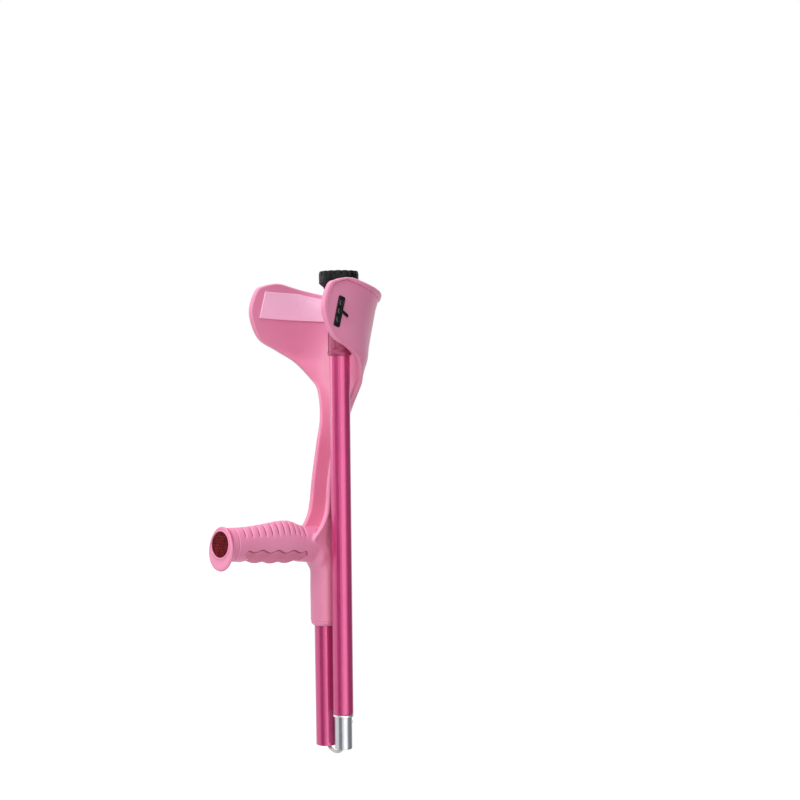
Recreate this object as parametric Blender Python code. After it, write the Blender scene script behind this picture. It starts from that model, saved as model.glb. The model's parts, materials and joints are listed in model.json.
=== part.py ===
"""Folding forearm crutch, shown folded: the lower leg stands beside the upper tube, ferrule up.

Metres, +Z up. The origin is the middle of the palm's hold on the hand grip. The grip points to -X,
the forearm cuff opens to -X, and the folded leg stands on the -Y side of the upper tube.
"""
import math

import bmesh
import bpy
import numpy as np
from mathutils import Matrix, Quaternion, Vector

# Clearances
FIT = 0.0003                # gap between pieces that are assembled and stay put
RUN = 0.0003                # gap between pieces that slide
OVERCUT = 0.004             # how far a cutter goes on past the surface it opens

# Upper tube, driving size of the whole joint
TUBE_RADIUS = 0.011
TUBE_WALL = 0.0012
TUBE_LENGTH = 0.234
TUBE_SIDES = 32
TUBE_EDGE = 0.0003

# Moulding: sleeve, spine and cuff
SLEEVE_BOTTOM = 0.130
SLEEVE_RADIUS = 0.015
SHELL_WALL = 0.0042
RIM_BEAD = 0.0011

# Hand grip
GRIP_ROOT_Z = 0.216
GRIP_LENGTH = 0.139
GRIP_HOLD = 0.075           # palm centre from the tube's axis, along the grip
GRIP_TILT = math.radians(5.5)
GROOVE_PITCH = 0.0087
GROOVE_COUNT = 11
GROOVE_DEPTH = 0.0009
GROOVE_START = 0.030
PAD_START = 0.032
PAD_END = 0.121
PAD_DEPTH = 0.0026
PAD_STAND = 0.0002
PAD_ANGLE = math.radians(63)
SCALLOP_PITCH = (PAD_END - PAD_START) / 4
SCALLOP_DEPTH = 0.0017

# Grip end cap and reflector
CAP_HEIGHT = 0.046
CAP_WIDTH = 0.037
CAP_THICKNESS = 0.0065
CAP_DROP = 0.0044           # how far the cap's outline is centred below the reflector
REFLECTOR_RADIUS = 0.013
REFLECTOR_DEPTH = 0.003
LENS_EDGE = 0.0003

# Folded place of the leg, from the upper tube's axis
LEG_OFFSET = (-0.0005, -0.0275)
LEG_LEAN = math.radians(0.4)        # the folded leg leans back into the cuff, on its cord
SWING_ANGLE = math.radians(5)       # the swing's direction, turned from -X towards -Y
SWING_DROP = 0.016                  # how far the turning axis lies below the tube's end

# Leg: lengths run up from the spigot's tip, which is level with the upper tube's end
SPIGOT_OUT = 0.0345
SPIGOT_IN = 0.040
SPIGOT_WALL = 0.0016
SPIGOT_EDGE = 0.0006
RING_THICKNESS = 0.0025
RING_STAND = 0.0003
RING_RADIUS = 0.0111
RING_EDGE = 0.0005
OUTER_TUBE_LENGTH = 0.396
COLLAR_LENGTH = 0.0265
COLLAR_WALL = 0.0011
COLLAR_EDGE = 0.0007
COLLAR_PANEL_ABOVE = 0.0060          # the panel starts this far above the collar's lower end
COLLAR_PANEL_BELOW = 0.0040          # and ends this far below its upper end
COLLAR_PANEL = 0.0008                # how far the collar's rounded panel stands out
COLLAR_PANEL_TURN = math.radians(220)
COLLAR_PANEL_HALF = math.radians(40)
COLLAR_COVER = 0.0112               # how much of the collar goes over the outer tube
INNER_TUBE_WALL = 0.0012
INNER_TUBE_SHOWN = 0.0265
HOLE_RADIUS = 0.0036
HOLE_SIDES = 20
HOLE_START = 0.004                  # the holes' cutters start this far from the axis, inside the bore
HOLE_COUNT = 10
HOLE_PITCH = 0.0254
FIRST_HOLE = 0.101                  # from the ring
HOLE_IN_USE = 1                     # counted from 0
INNER_TUBE_BELOW_BUTTON = 0.035
BUSH_FLANGE = 0.0031
BUSH_DEPTH = 0.0083
BUSH_WALL = 0.002
PLUG_DEPTH = 0.0097
PLUG_VENT = 0.001                   # radius of the vent at the end plug's middle
WASHER_BORE = 0.003

# Spring buttons
BUTTON_RADIUS = 0.0032
BUTTON_STAND = 0.0030
BUTTON_EDGE = 0.0004
FOLD_BUTTON_FROM_RING = 0.0082
CLIP_STRIP = 0.0007
CLIP_HALF_WIDTH = 0.0036
CLIP_LENGTH = 0.022                 # from the button's middle to the bend
CLIP_BELOW = 0.005                  # and from the button's middle to the arms' ends
CLIP_GAP = 0.0004                   # between the arms' corners and the bore

# Ferrule
FERRULE_HEIGHT = 0.038
FERRULE_NECK_RADIUS = 0.0125
FERRULE_BASE_RADIUS = 0.0214
FERRULE_BAND = 0.014
FERRULE_SOLE = 0.0065
FERRULE_NOTCHES = 16
FERRULE_EDGE = (7, 8, 9)            # profile points that the notches draw in
FERRULE_RIM = (9,)                  # and the one that they also lower
WASHER_THICKNESS = 0.001

# Elastic cord
CORD_RADIUS = 0.0019
CORD_SAG = 0.0046                   # how far the loop's middle hangs below the tube's end
CORD_BEND_TOP = 0.012               # the loop's bend starts this far inside both mouths
CORD_LEAD = 0.002                   # the bend's last step, along the leaning leg's axis
CORD_UPPER_END = 0.038              # the upper run ends above the seated spigot's tip
ANCHOR_Z = 0.190
STOP_Z = 0.062
PLUG_THICKNESS = 0.008
KNOT_RADIUS = 0.0042

# Strap slot insert and inner strip
SLOT_LENGTH = 0.033
SLOT_WIDTH = 0.009
SLOT_DEPTH = 0.0016
SLOT_PROUD = 0.0009
SLOT_LEAN = math.radians(17)
SLOT_PLACE = (-0.0275, 0.468)
TAB_LENGTH = 0.0090
TAB_HALF_HEIGHT = 0.0015
TAB_MIDDLE = 0.0014
TAB_LEAN = 0.0024
STRIP_THICKNESS = 0.001
STRIP_LOW = 0.4665
STRIP_HIGH = 0.4955
STRIP_BELOW_EDGE = 0.0020           # the strip's top stays this far below the cuff's top edge
STRIP_ROWS = 5

TUBE_X = GRIP_HOLD * math.cos(GRIP_TILT)
TUBE_END_Z = -(GRIP_ROOT_Z + GRIP_HOLD * math.sin(GRIP_TILT))
TUBE_BASE = Vector((TUBE_X, 0, TUBE_END_Z))
LEG_BASE = TUBE_BASE + Vector((*LEG_OFFSET, 0))
TUBE_BORE = TUBE_RADIUS - TUBE_WALL
SPIGOT_RADIUS = TUBE_BORE - RUN
SPIGOT_BORE = SPIGOT_RADIUS - SPIGOT_WALL
INNER_TUBE_RADIUS = TUBE_BORE - RUN
INNER_TUBE_BORE = INNER_TUBE_RADIUS - INNER_TUBE_WALL
SEATED_TIP = SPIGOT_OUT - RING_STAND            # where the spigot's tip ends up inside the upper tube
OUTER_TUBE_LOW = SPIGOT_OUT + RING_THICKNESS + FIT
OUTER_TUBE_HIGH = OUTER_TUBE_LOW + OUTER_TUBE_LENGTH
COLLAR_LOW = OUTER_TUBE_HIGH - COLLAR_COVER
COLLAR_HIGH = COLLAR_LOW + COLLAR_LENGTH
HEIGHT_BUTTON_Z = SPIGOT_OUT + RING_THICKNESS + FIRST_HOLE + HOLE_IN_USE * HOLE_PITCH
FERRULE_LOW = COLLAR_HIGH + INNER_TUBE_SHOWN
FERRULE_HIGH = FERRULE_LOW + FERRULE_HEIGHT
INNER_TUBE_HIGH = FERRULE_HIGH - FERRULE_SOLE - WASHER_THICKNESS - 2 * FIT
INNER_TUBE_LOW = HEIGHT_BUTTON_Z - INNER_TUBE_BELOW_BUTTON

# Moulding stations, from the sleeve up: rim x, rim z, half width, back x, back z, front bulge, cupping.
# Front bulge is 1 on the round sleeve and 0 where the front is the hollow of the spine or cuff.
STATIONS = (
    (0.0000, 0.1300, 0.0112, 0.0112, 0.1300, 1.00, 1.00),
    (0.0000, 0.1312, 0.0133, 0.0133, 0.1312, 1.00, 1.00),
    (0.0000, 0.1345, 0.0148, 0.0148, 0.1345, 1.00, 1.00),
    (0.0000, 0.1650, 0.0150, 0.0150, 0.1650, 1.00, 1.00),
    (-0.0010, 0.2100, 0.0150, 0.0152, 0.2100, 1.00, 1.00),
    (-0.0085, 0.2380, 0.0148, 0.0160, 0.2380, 0.85, 1.00),
    (-0.0085, 0.2600, 0.0142, 0.0180, 0.2590, 0.42, 0.95),
    (-0.0015, 0.2890, 0.0139, 0.0215, 0.2870, 0.10, 0.80),
    (0.0065, 0.3250, 0.0146, 0.0290, 0.3210, 0.00, 0.45),
    (0.0175, 0.3560, 0.0190, 0.0355, 0.3490, 0.00, 0.20),
    (0.0245, 0.3850, 0.0300, 0.0405, 0.3710, 0.00, 0.15),
    (0.0215, 0.3990, 0.0398, 0.0415, 0.3850, 0.00, 0.25),
    (0.0080, 0.4170, 0.0505, 0.0440, 0.4000, 0.00, 0.50),
    (-0.0120, 0.4295, 0.0575, 0.0480, 0.4150, 0.00, 0.80),
    (-0.0380, 0.4435, 0.0590, 0.0535, 0.4310, 0.00, 1.00),
    (-0.0500, 0.4710, 0.0588, 0.0620, 0.4500, 0.00, 1.00),
    (-0.0420, 0.4960, 0.0585, 0.0670, 0.4680, 0.00, 1.00),
    (-0.0150, 0.5060, 0.0580, 0.0715, 0.4850, 0.00, 1.00),
)
STEPS_BETWEEN = 2
SHARES = (0.08, 0.17, 0.27, 0.37, 0.47, 0.57, 0.67, 0.76, 0.84, 0.90, 0.945, 0.965, 1.0)
BEAD_FROM = 0.955                   # the raised rim starts here, as a share of the way to the rim
CUP_FULLNESS = 0.72
GRIP_SIDES = 22
PAD_STEPS = 24
PAD_SPANS = 6
PAD_BLUNTNESS = 0.08                # share of the length over which each end is rounded
PAD_WAVE = 0.07
PAD_TIP_ANGLE = 0.08
PAD_SIDE_MARGINS = 2.5              # the pad's pocket is this many margins wider on each side
BEND_POINTS = 13                    # odd, so that the loop is parted in the middle of a straight step
FRONT_TURN = math.radians(82)       # the round sleeve's front ends short of its widest points


def clear_scene():
    for obj in list(bpy.data.objects):
        bpy.data.objects.remove(obj, do_unlink=True)


def material(name, colour, roughness, metallic=0.0):
    mat = bpy.data.materials.new(name)
    mat.use_nodes = True
    shader = mat.node_tree.nodes["Principled BSDF"]
    shader.inputs["Base Color"].default_value = (*colour, 1)
    shader.inputs["Roughness"].default_value = roughness
    shader.inputs["Metallic"].default_value = metallic
    return mat


def empty(name, place, parent=None, turn=0.0):
    """An axis that moving pieces hang on. Its place is given in the world."""
    axis = bpy.data.objects.new(name, None)
    bpy.context.collection.objects.link(axis)
    axis.parent = parent
    axis.location = place if parent is None else parent.matrix_world.inverted() @ Vector(place)
    axis.rotation_euler = (0, 0, turn)
    bpy.context.view_layer.update()
    return axis


def mesh_object(name, points, faces, mat, parent, smooth=True):
    mesh = bpy.data.meshes.new(name)
    mesh.from_pydata([tuple(p) for p in points], [], faces)
    mesh.validate()
    obj = bpy.data.objects.new(name, mesh)
    bpy.context.collection.objects.link(obj)
    obj.parent = parent
    mesh.materials.append(mat)
    face_outwards(mesh)
    if smooth:
        mesh.shade_smooth()
        mesh.set_sharp_from_angle(angle=math.radians(35))
    return obj


def face_outwards(mesh):
    shape = bmesh.new()
    shape.from_mesh(mesh)
    bmesh.ops.recalc_face_normals(shape, faces=shape.faces)
    if shape.calc_volume(signed=True) < 0:
        bmesh.ops.reverse_faces(shape, faces=shape.faces)
    shape.to_mesh(mesh)
    shape.free()


def loft(name, rings, mat, parent, closed=False, smooth=True):
    """Joins rings of equal count. Open lofts get flat ends, closed ones run back to their first ring."""
    count = len(rings[0])
    points = [p for ring in rings for p in ring]
    faces = []
    last = len(rings) if closed else len(rings) - 1
    for i in range(last):
        near, far = i * count, (i + 1) % len(rings) * count
        for j in range(count):
            k = (j + 1) % count
            faces.append((near + j, near + k, far + k, far + j))
    if not closed:
        faces.append(tuple(range(count))[::-1])
        faces.append(tuple(range(len(points) - count, len(points))))
    return mesh_object(name, points, faces, mat, parent, smooth)


def turned(name, profile, mat, parent, sides=TUBE_SIDES, place=(0, 0, 0), hollow=True):
    """A turned piece about its own Z. The profile is (radius, height); a hollow one is a closed outline."""
    rings = []
    for radius, height in profile:
        turns = [math.tau * (i + 0.5) / sides for i in range(sides)]
        rings.append([(radius * math.cos(a), radius * math.sin(a), height) for a in turns])
    obj = loft(name, rings, mat, parent, closed=hollow)
    obj.location = place
    return obj


def pipe_profile(outer, inner, low, high, edge=TUBE_EDGE):
    """Outline of a plain tube, its four edges broken."""
    return (
        (outer - edge, low), (outer, low + edge), (outer, high - edge), (outer - edge, high),
        (inner + edge, high), (inner, high - edge), (inner, low + edge), (inner + edge, low),
    )


def disc_profile(radius, bore, low, high):
    """Outline of a plain disc with a hole."""
    return (radius, low), (radius, high), (bore, high), (bore, low)


def cut(obj, cutter, operation="DIFFERENCE"):
    """Boolean with the exact solver. The other shape stays as a hidden guide."""
    change = obj.modifiers.new(operation.lower(), "BOOLEAN")
    change.operation = operation
    change.solver = "EXACT"
    change.object = cutter
    cutter.hide_render = True
    cutter.display_type = "WIRE"


def rod(name, radius, start, end, parent, sides=16, mat=None):
    """A plain round bar between two points, used as a cutter or a pin."""
    start, end = Vector(start), Vector(end)
    turn = (end - start).to_track_quat("Z", "Y").to_matrix()
    rings = []
    for centre in (start, end):
        turns = [math.tau * i / sides for i in range(sides)]
        rings.append([centre + turn @ Vector((radius * math.cos(a), radius * math.sin(a), 0)) for a in turns])
    return loft(name, rings, mat or PINK, parent)


def side_hole(name, z, parent):
    """Cutter for a button's hole, through the tube's wall on its +X side only."""
    return rod(name, HOLE_RADIUS, (HOLE_START, 0, z), (TUBE_RADIUS + OVERCUT, 0, z), parent, sides=HOLE_SIDES)


def smooth_stations():
    """Rounds the stations off: a Catmull-Rom curve through them, with a few steps between each pair."""
    keys = np.array(STATIONS)
    padded = np.vstack([2 * keys[0] - keys[1], keys, 2 * keys[-1] - keys[-2]])
    rows = []
    for i in range(1, len(padded) - 2):
        a, b, c, d = padded[i - 1:i + 3]
        for step in range(STEPS_BETWEEN):
            t = step / STEPS_BETWEEN
            rows.append(0.5 * (2 * b + (c - a) * t + (2 * a - 5 * b + 4 * c - d) * t**2
                               + (3 * b - a - 3 * c + d) * t**3))
    rows.append(keys[-1])
    return np.array(rows)


def arc(row, share):
    """A flat point (x, y) of a section's outer wall: share 0 is the middle of the back, 1 is a rim."""
    rim_x, _, half_width, back_x, _, _, cupping = row
    turn = share * math.pi / 2
    widened = min(1.0, max(0.0, (half_width - SLEEVE_RADIUS) / 0.03))
    fullness = 1 + (CUP_FULLNESS - 1) * widened
    deep = max(0.0, math.cos(turn)) ** fullness
    cup = np.array([rim_x + (back_x - rim_x) * deep, half_width * math.sin(turn)])
    flat = np.array([rim_x + (back_x - rim_x) * (1 - share**2), half_width * share])
    return cup * cupping + flat * (1 - cupping)


def inward(row, share):
    """The unit vector square to the outer wall, towards the hollow."""
    if share == 0:
        return np.array([-1.0, 0.0])
    along = arc(row, min(1, share + 0.01)) - arc(row, share - 0.01)
    along /= np.linalg.norm(along)
    return np.array([-along[1], along[0]])


def on_section(row, flat_point):
    """Lifts a flat point into space: each section lies in a plane that slants from back to rim."""
    rim_x, rim_z, _, back_x, back_z, _, _ = row
    x, y = flat_point
    return Vector((x, y, back_z + (rim_z - back_z) * (back_x - x) / (back_x - rim_x)))


def section_ring(row):
    """A closed section: near rim, round the back, far rim, home along the hollow or the sleeve's front."""
    rim_x, _, half_width, _, _, bulge, _ = row
    wall = min(SHELL_WALL, half_width * 0.33)
    outer, inner = [arc(row, 0)], []
    for share in SHARES:
        bead = RIM_BEAD * (1 - bulge) if share > BEAD_FROM else 0
        outer.append(arc(row, share) - inward(row, share) * bead)
    for share in (0, *SHARES):
        hollow = arc(row, share) + inward(row, share) * wall
        turn = share * FRONT_TURN
        front = np.array([rim_x - half_width * math.cos(turn), half_width * math.sin(turn)])
        inner.append(hollow * (1 - bulge) + front * bulge)
    tip = (outer[-1] + inner[-1]) / 2 - (1 - bulge) * np.array([RIM_BEAD, 0])
    mirror = np.array([1, -1])
    near_outer = [p * mirror for p in outer[:0:-1]]
    near_inner = [p * mirror for p in inner[1:]]
    ring = near_outer + outer + [tip] + inner[::-1] + near_inner + [tip * mirror]
    return [on_section(row, p) for p in ring]


def crown(ring, lift):
    """The top edge, rounded over: every point drawn in towards the one across the wall, and lifted."""
    tip = 2 * len(SHARES) + 1
    rounded = []
    for i, point in enumerate(ring):
        across = ring[(2 * tip - i) % len(ring)]
        rounded.append(point.lerp(across, 0.25) + Vector((0.2, 0, 1)).normalized() * lift)
    return rounded


def grip_half_sizes(s):
    """Half height above and below the grip's axis, and half width, at a distance along the grip."""
    stops = (0.0, 0.014, 0.028, 0.040, 0.053, 0.067, 0.079, 0.091, 0.106, 0.122, 0.139)
    above = (0.0190, 0.0200, 0.0212, 0.0227, 0.0266, 0.0264, 0.0244, 0.0224, 0.0201, 0.0183, 0.0172)
    below = (0.0230, 0.0195, 0.0178, 0.0176, 0.0184, 0.0190, 0.0190, 0.0189, 0.0184, 0.0178, 0.0165)
    wide = (0.0128, 0.0137, 0.0146, 0.0152, 0.0156, 0.0157, 0.0156, 0.0153, 0.0149, 0.0144, 0.0136)
    return tuple(float(np.interp(s, stops, row)) for row in (above, below, wide))


def grip_frame():
    """The grip's own axes: along it, across it and up, and where it starts on the tube's axis."""
    along = Vector((-math.cos(GRIP_TILT), 0, math.sin(GRIP_TILT)))
    up = Vector((math.sin(GRIP_TILT), 0, math.cos(GRIP_TILT)))
    return Vector((0, 0, GRIP_ROOT_Z)), along, Vector((0, 1, 0)), up


def grip_point(s, angle, out=0.0):
    """A point of the grip's skin. Angle 0 is the top, and the far side is positive."""
    above, below, wide = grip_half_sizes(s)
    tall = above if math.cos(angle) > 0 else below
    up, side = math.cos(angle) * tall, math.sin(angle) * wide
    length = math.hypot(up, side)
    near_bottom = max(0.0, -math.cos(angle)) ** 2
    inside = PAD_START < s < PAD_END
    wave = 0.5 - 0.5 * math.cos(math.tau * (s - PAD_START) / SCALLOP_PITCH) if inside else 0
    reach = length + out - SCALLOP_DEPTH * wave * near_bottom
    start, along, across, rise = grip_frame()
    return start + along * s + (rise * up + across * side) * (reach / length)


def groove(s, angle):
    """How deep the grip's top grooves are here: they fade out down the sides and lean with the knuckles."""
    lean = 0.004 * abs(math.sin(angle))
    at = (s - lean - GROOVE_START) / GROOVE_PITCH
    if not -0.5 < at < GROOVE_COUNT - 0.5:
        return 0
    from_middle = abs(at - round(at)) * GROOVE_PITCH
    fade = min(1.0, max(0.0, (math.cos(angle) - 0.25) / 0.35))
    return GROOVE_DEPTH * fade * max(0.0, 1 - from_middle / 0.0012)


def grip_stops():
    """Places along the grip for its sections: three at each groove and a few elsewhere."""
    stops = [0.0, 0.006, 0.012, 0.018, 0.024, GRIP_LENGTH - 0.003, GRIP_LENGTH]
    for i in range(GROOVE_COUNT):
        middle = GROOVE_START + i * GROOVE_PITCH
        stops += [middle - 0.0012, middle, middle + 0.0012, middle + 0.0044]
    return sorted(set(round(s, 5) for s in stops if s <= GRIP_LENGTH))


def grip_solid(parent):
    rings = []
    for s in grip_stops():
        turns = [math.tau * i / GRIP_SIDES for i in range(GRIP_SIDES)]
        rings.append([grip_point(s, a, -groove(s, a)) for a in turns])
    return loft("grip_form", rings, PINK, parent)


def pad_outline(share):
    """The finger pad's half angle along its length: a wavy edge that closes to a point near the root."""
    ends = (min(1.0, max(0.0, share) / PAD_BLUNTNESS) * min(1.0, max(0.0, 1 - share) / PAD_BLUNTNESS)) ** 0.5
    wave = PAD_WAVE * math.cos(math.tau * share * (PAD_END - PAD_START) / SCALLOP_PITCH)
    return PAD_ANGLE * (1 + wave) * ends


def pad_block(name, parent, mat, margin, top):
    """The finger pad under the grip. With a margin it is the pocket's cutter."""
    rings = []
    for i in range(PAD_STEPS + 1):
        share = 0.5 - 0.5 * math.cos(math.pi * i / PAD_STEPS)      # closer sections towards both ends
        s = PAD_START + (PAD_END - PAD_START) * share + margin * (2 * share - 1)
        half = max(pad_outline(share), PAD_TIP_ANGLE) + PAD_SIDE_MARGINS * margin / grip_half_sizes(s)[1]
        turns = [math.pi + half * (2 * j / PAD_SPANS - 1) for j in range(PAD_SPANS + 1)]
        skin = [grip_point(s, a, top) for a in turns]
        floor = [grip_point(s, a, -PAD_DEPTH - margin) for a in reversed(turns)]
        rings.append(skin + floor)
    return loft(name, rings, mat, parent)


def cap_outline(angle, shrink=0.0):
    """The end cap's egg: its lower lip is the larger end."""
    height, width = CAP_HEIGHT / 2 - shrink, CAP_WIDTH / 2 - shrink
    up = math.cos(angle)
    return up * height, math.sin(angle) * width * (1 - 0.10 * up)


def grip_end_cap(parent):
    """The flange at the grip's free end, with a groove behind it and a pocket for the reflector."""
    start, along, across, rise = grip_frame()
    first = GRIP_LENGTH + FIT
    steps = ((0.0, 0.0050), (0.0012, 0.0038), (0.0020, 0.0012), (0.0034, 0.0), (CAP_THICKNESS - 0.0016, 0.0),
             (CAP_THICKNESS - 0.0004, 0.0008), (CAP_THICKNESS, 0.0022))
    rings = []
    for ahead, shrink in steps:
        ring = []
        for i in range(TUBE_SIDES):
            up, side = cap_outline(math.tau * i / TUBE_SIDES, shrink)
            ring.append(start + along * (first + ahead) + rise * (up - CAP_DROP) + across * side)
        rings.append(ring)
    cap = loft("grip_end_cap", rings, PINK, parent)
    face = start + along * (first + CAP_THICKNESS)
    pocket = rod("reflector_pocket", REFLECTOR_RADIUS + FIT, face - along * (REFLECTOR_DEPTH + FIT),
                 face + along * OVERCUT, parent, sides=TUBE_SIDES)
    cut(cap, pocket)
    dome = []
    full, brim = REFLECTOR_RADIUS, REFLECTOR_DEPTH
    for ahead, radius in ((0, full - LENS_EDGE), (LENS_EDGE, full), (brim - LENS_EDGE, full),
                          (brim, full - 3 * LENS_EDGE), (brim + LENS_EDGE, full / 2)):
        centre = face + along * (ahead - REFLECTOR_DEPTH)
        turns = [math.tau * i / TUBE_SIDES for i in range(TUBE_SIDES)]
        dome.append([centre + (rise * math.cos(a) + across * math.sin(a)) * radius for a in turns])
    loft("end_reflector", dome, REFLECTOR_RED, parent)


def slot_block(name, parent, mat, margin, depth, proud):
    """The strap slot insert on the near wing: a rounded bar with a short tab to the rear at mid height."""
    x, z = SLOT_PLACE
    outer_y = -wing_half_width(x, z)
    half, width = SLOT_LENGTH / 2 + margin, SLOT_WIDTH / 2 + margin
    corner = width * 0.5
    tab_low, tab_high = TAB_MIDDLE - TAB_HALF_HEIGHT - margin, TAB_MIDDLE + TAB_HALF_HEIGHT + margin
    tab_end = width + TAB_LENGTH
    outline = [(width, tab_low), (tab_end, tab_low - TAB_LEAN)]
    outline += [(tab_end, tab_high - TAB_LEAN), (width, tab_high)]
    for side, up, first in ((1, 1, 0), (-1, 1, 90), (-1, -1, 180), (1, -1, 270)):
        for step in range(4):
            a = math.radians(first + step * 30)
            outline.append((side * (width - corner) + corner * math.cos(a),
                            up * (half - corner) + corner * math.sin(a)))
    lean = Matrix.Rotation(-SLOT_LEAN, 2)
    rings = []
    for y in (outer_y + depth + margin, outer_y - proud):
        leaning = [lean @ Vector(p) for p in outline]
        rings.append([Vector((x + p.x, y, z + p.y)) for p in leaning])
    return loft(name, rings, mat, parent, smooth=False)


def wing_half_width(x, z):
    """How far the cuff's outer wall stands from the middle plane, at a place on the wing."""
    best, found = 1.0, 0.0
    for row in smooth_stations():
        if row[2] < 0.045:
            continue
        for share in np.linspace(0.5, 0.95, 19):
            point = on_section(row, arc(row, share))
            gap = math.hypot(point.x - x, point.z - z)
            if gap < best:
                best, found = gap, point.y
    return found


def strip_plate(parent):
    """The thin bare strip on the far wing's inner face: it runs level and follows the wall at an even gap."""
    rows = [row for row in smooth_stations() if row[2] > 0.045]
    rings = []
    for share in SHARES[2:-1]:
        skin, back = [], []
        for gap, line in ((SHELL_WALL + FIT, back), (SHELL_WALL + FIT + STRIP_THICKNESS, skin)):
            wall = np.array([on_section(row, arc(row, share) + inward(row, share) * gap) for row in rows])
            top = min(STRIP_HIGH, wall[-1][2] - STRIP_BELOW_EDGE)
            for z in np.linspace(STRIP_LOW, top, STRIP_ROWS):
                line.append(Vector([float(np.interp(z, wall[:, 2], wall[:, axis])) for axis in range(3)]))
        rings.append(back + skin[::-1])
    return loft("inner_strip", rings, STRIP_PINK, parent, smooth=False)


def cuff_moulding(parent):
    """Cuff, spine, sleeve and grip in one moulding, with the bore that takes the upper tube."""
    rings = [section_ring(row) for row in smooth_stations()]
    rings.append(crown(rings[-1], 0.0012))
    body = loft("cuff_moulding", rings, PINK, parent)
    cut(body, grip_solid(parent), "UNION")
    cut(body, rod("tube_bore", TUBE_RADIUS + FIT, (0, 0, SLEEVE_BOTTOM - OVERCUT), (0, 0, TUBE_LENGTH + FIT),
                  parent, sides=TUBE_SIDES))
    cut(body, pad_block("pad_pocket", parent, PINK, FIT, OVERCUT))
    cut(body, slot_block("slot_pocket", parent, PINK, FIT, SLOT_DEPTH, OVERCUT))


def handle_frame(parent):
    cuff_moulding(parent)
    pad_block("finger_pad", parent, PAD_PINK, 0.0, PAD_STAND)
    grip_end_cap(parent)
    slot_block("slot_insert", parent, BLACK, 0.0, SLOT_DEPTH - FIT, SLOT_PROUD)
    strip_plate(parent)
    tube = turned("upper_tube", pipe_profile(TUBE_RADIUS, TUBE_BORE, 0, TUBE_LENGTH), TUBE_PINK, parent)
    hole_z = SEATED_TIP - (SPIGOT_OUT - FOLD_BUTTON_FROM_RING)
    cut(tube, side_hole("fold_hole", hole_z, parent))
    top = ANCHOR_Z + PLUG_THICKNESS
    turned("cord_anchor_plug", disc_profile(TUBE_BORE - FIT, CORD_RADIUS + FIT, ANCHOR_Z, top), BLACK, parent)
    knot("cord_knot_upper", top + FIT, parent)
    cord("cord_upper", [(0, 0, CORD_UPPER_END), (0, 0, top - FIT)], parent)


def knot(name, foot, parent):
    """The cord's knot behind its plug: a turned bulb with a flat foot."""
    heights = [KNOT_RADIUS * (1 - math.cos(math.pi * i / 8)) for i in range(9)]
    profile = []
    for height in heights[1:-1]:
        radius = math.sqrt(KNOT_RADIUS**2 - (height - KNOT_RADIUS) ** 2)
        profile.append((radius, foot + height))
    turned(name, profile, CORD_WHITE, parent, sides=16, hollow=False)


def cord(name, route, parent):
    """A cord run: a curve tube on a poly spline."""
    curve = bpy.data.curves.new(name, "CURVE")
    curve.dimensions = "3D"
    curve.bevel_depth = CORD_RADIUS
    curve.bevel_resolution = 2
    curve.use_fill_caps = True
    run = curve.splines.new("POLY")
    run.points.add(len(route) - 1)
    for point, place in zip(run.points, route):
        point.co = (*place, 1)
    curve.materials.append(CORD_WHITE)
    obj = bpy.data.objects.new(name, curve)
    bpy.context.collection.objects.link(obj)
    obj.parent = parent
    return obj


def bend_route(start, end):
    """The cord's loop from the upper tube's mouth to the spigot's: an arch that hangs below both."""
    start, end = Vector(start), Vector(end)
    reach = start.z - (TUBE_END_Z - CORD_SAG)
    route = []
    for i in range(BEND_POINTS + 1):
        turn = math.pi * i / BEND_POINTS
        place = start.lerp(end, 0.5 - 0.5 * math.cos(turn))
        place.z -= reach * max(0.0, math.sin(turn)) ** 0.75
        route.append(place)
    return route


def spring_clip(name, bore, place, parent, cord_hole):
    """A U of spring strip with a round button on one arm. The button points to +X; the bend is above it."""
    arm = math.sqrt(bore**2 - CLIP_HALF_WIDTH**2) - CLIP_GAP
    outline = [(arm, -CLIP_BELOW), (arm, CLIP_LENGTH)]
    outline += [(arm * math.cos(math.pi * i / 10), CLIP_LENGTH + arm * math.sin(math.pi * i / 10))
                for i in range(1, 10)]
    outline += [(-arm, CLIP_LENGTH), (-arm, -CLIP_BELOW)]
    thin = arm - CLIP_STRIP
    inside = [(-thin, -CLIP_BELOW), (-thin, CLIP_LENGTH)]
    inside += [(-thin * math.cos(math.pi * i / 10), CLIP_LENGTH + thin * math.sin(math.pi * i / 10))
               for i in range(1, 10)]
    inside += [(thin, CLIP_LENGTH), (thin, -CLIP_BELOW)]
    outline += inside
    rings = [[(x, y, z) for x, z in outline] for y in (-CLIP_HALF_WIDTH, CLIP_HALF_WIDTH)]
    clip = loft(name, rings, STEEL, parent)
    crest = TUBE_RADIUS + BUTTON_STAND
    head = [(BUTTON_RADIUS, arm - CLIP_STRIP / 2), (BUTTON_RADIUS, crest - 3 * BUTTON_EDGE)]
    head += [(BUTTON_RADIUS - BUTTON_EDGE, crest - BUTTON_EDGE), (BUTTON_RADIUS - 3 * BUTTON_EDGE, crest)]
    rings = []
    for radius, x in head:
        turns = [math.tau * i / HOLE_SIDES for i in range(HOLE_SIDES)]
        rings.append([(x, radius * math.cos(a), radius * math.sin(a)) for a in turns])
    button = loft(name + "_head", rings, STEEL, parent)
    cut(clip, button, "UNION")
    guides = [clip, button]
    if cord_hole:
        hole = rod(name + "_cord_hole", CORD_RADIUS + 2 * FIT, (0, 0, CLIP_LENGTH),
                   (0, 0, CLIP_LENGTH + arm + OVERCUT), parent)
        cut(clip, hole)
        guides.append(hole)
    for obj in guides:
        obj.location = place
    return clip


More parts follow.
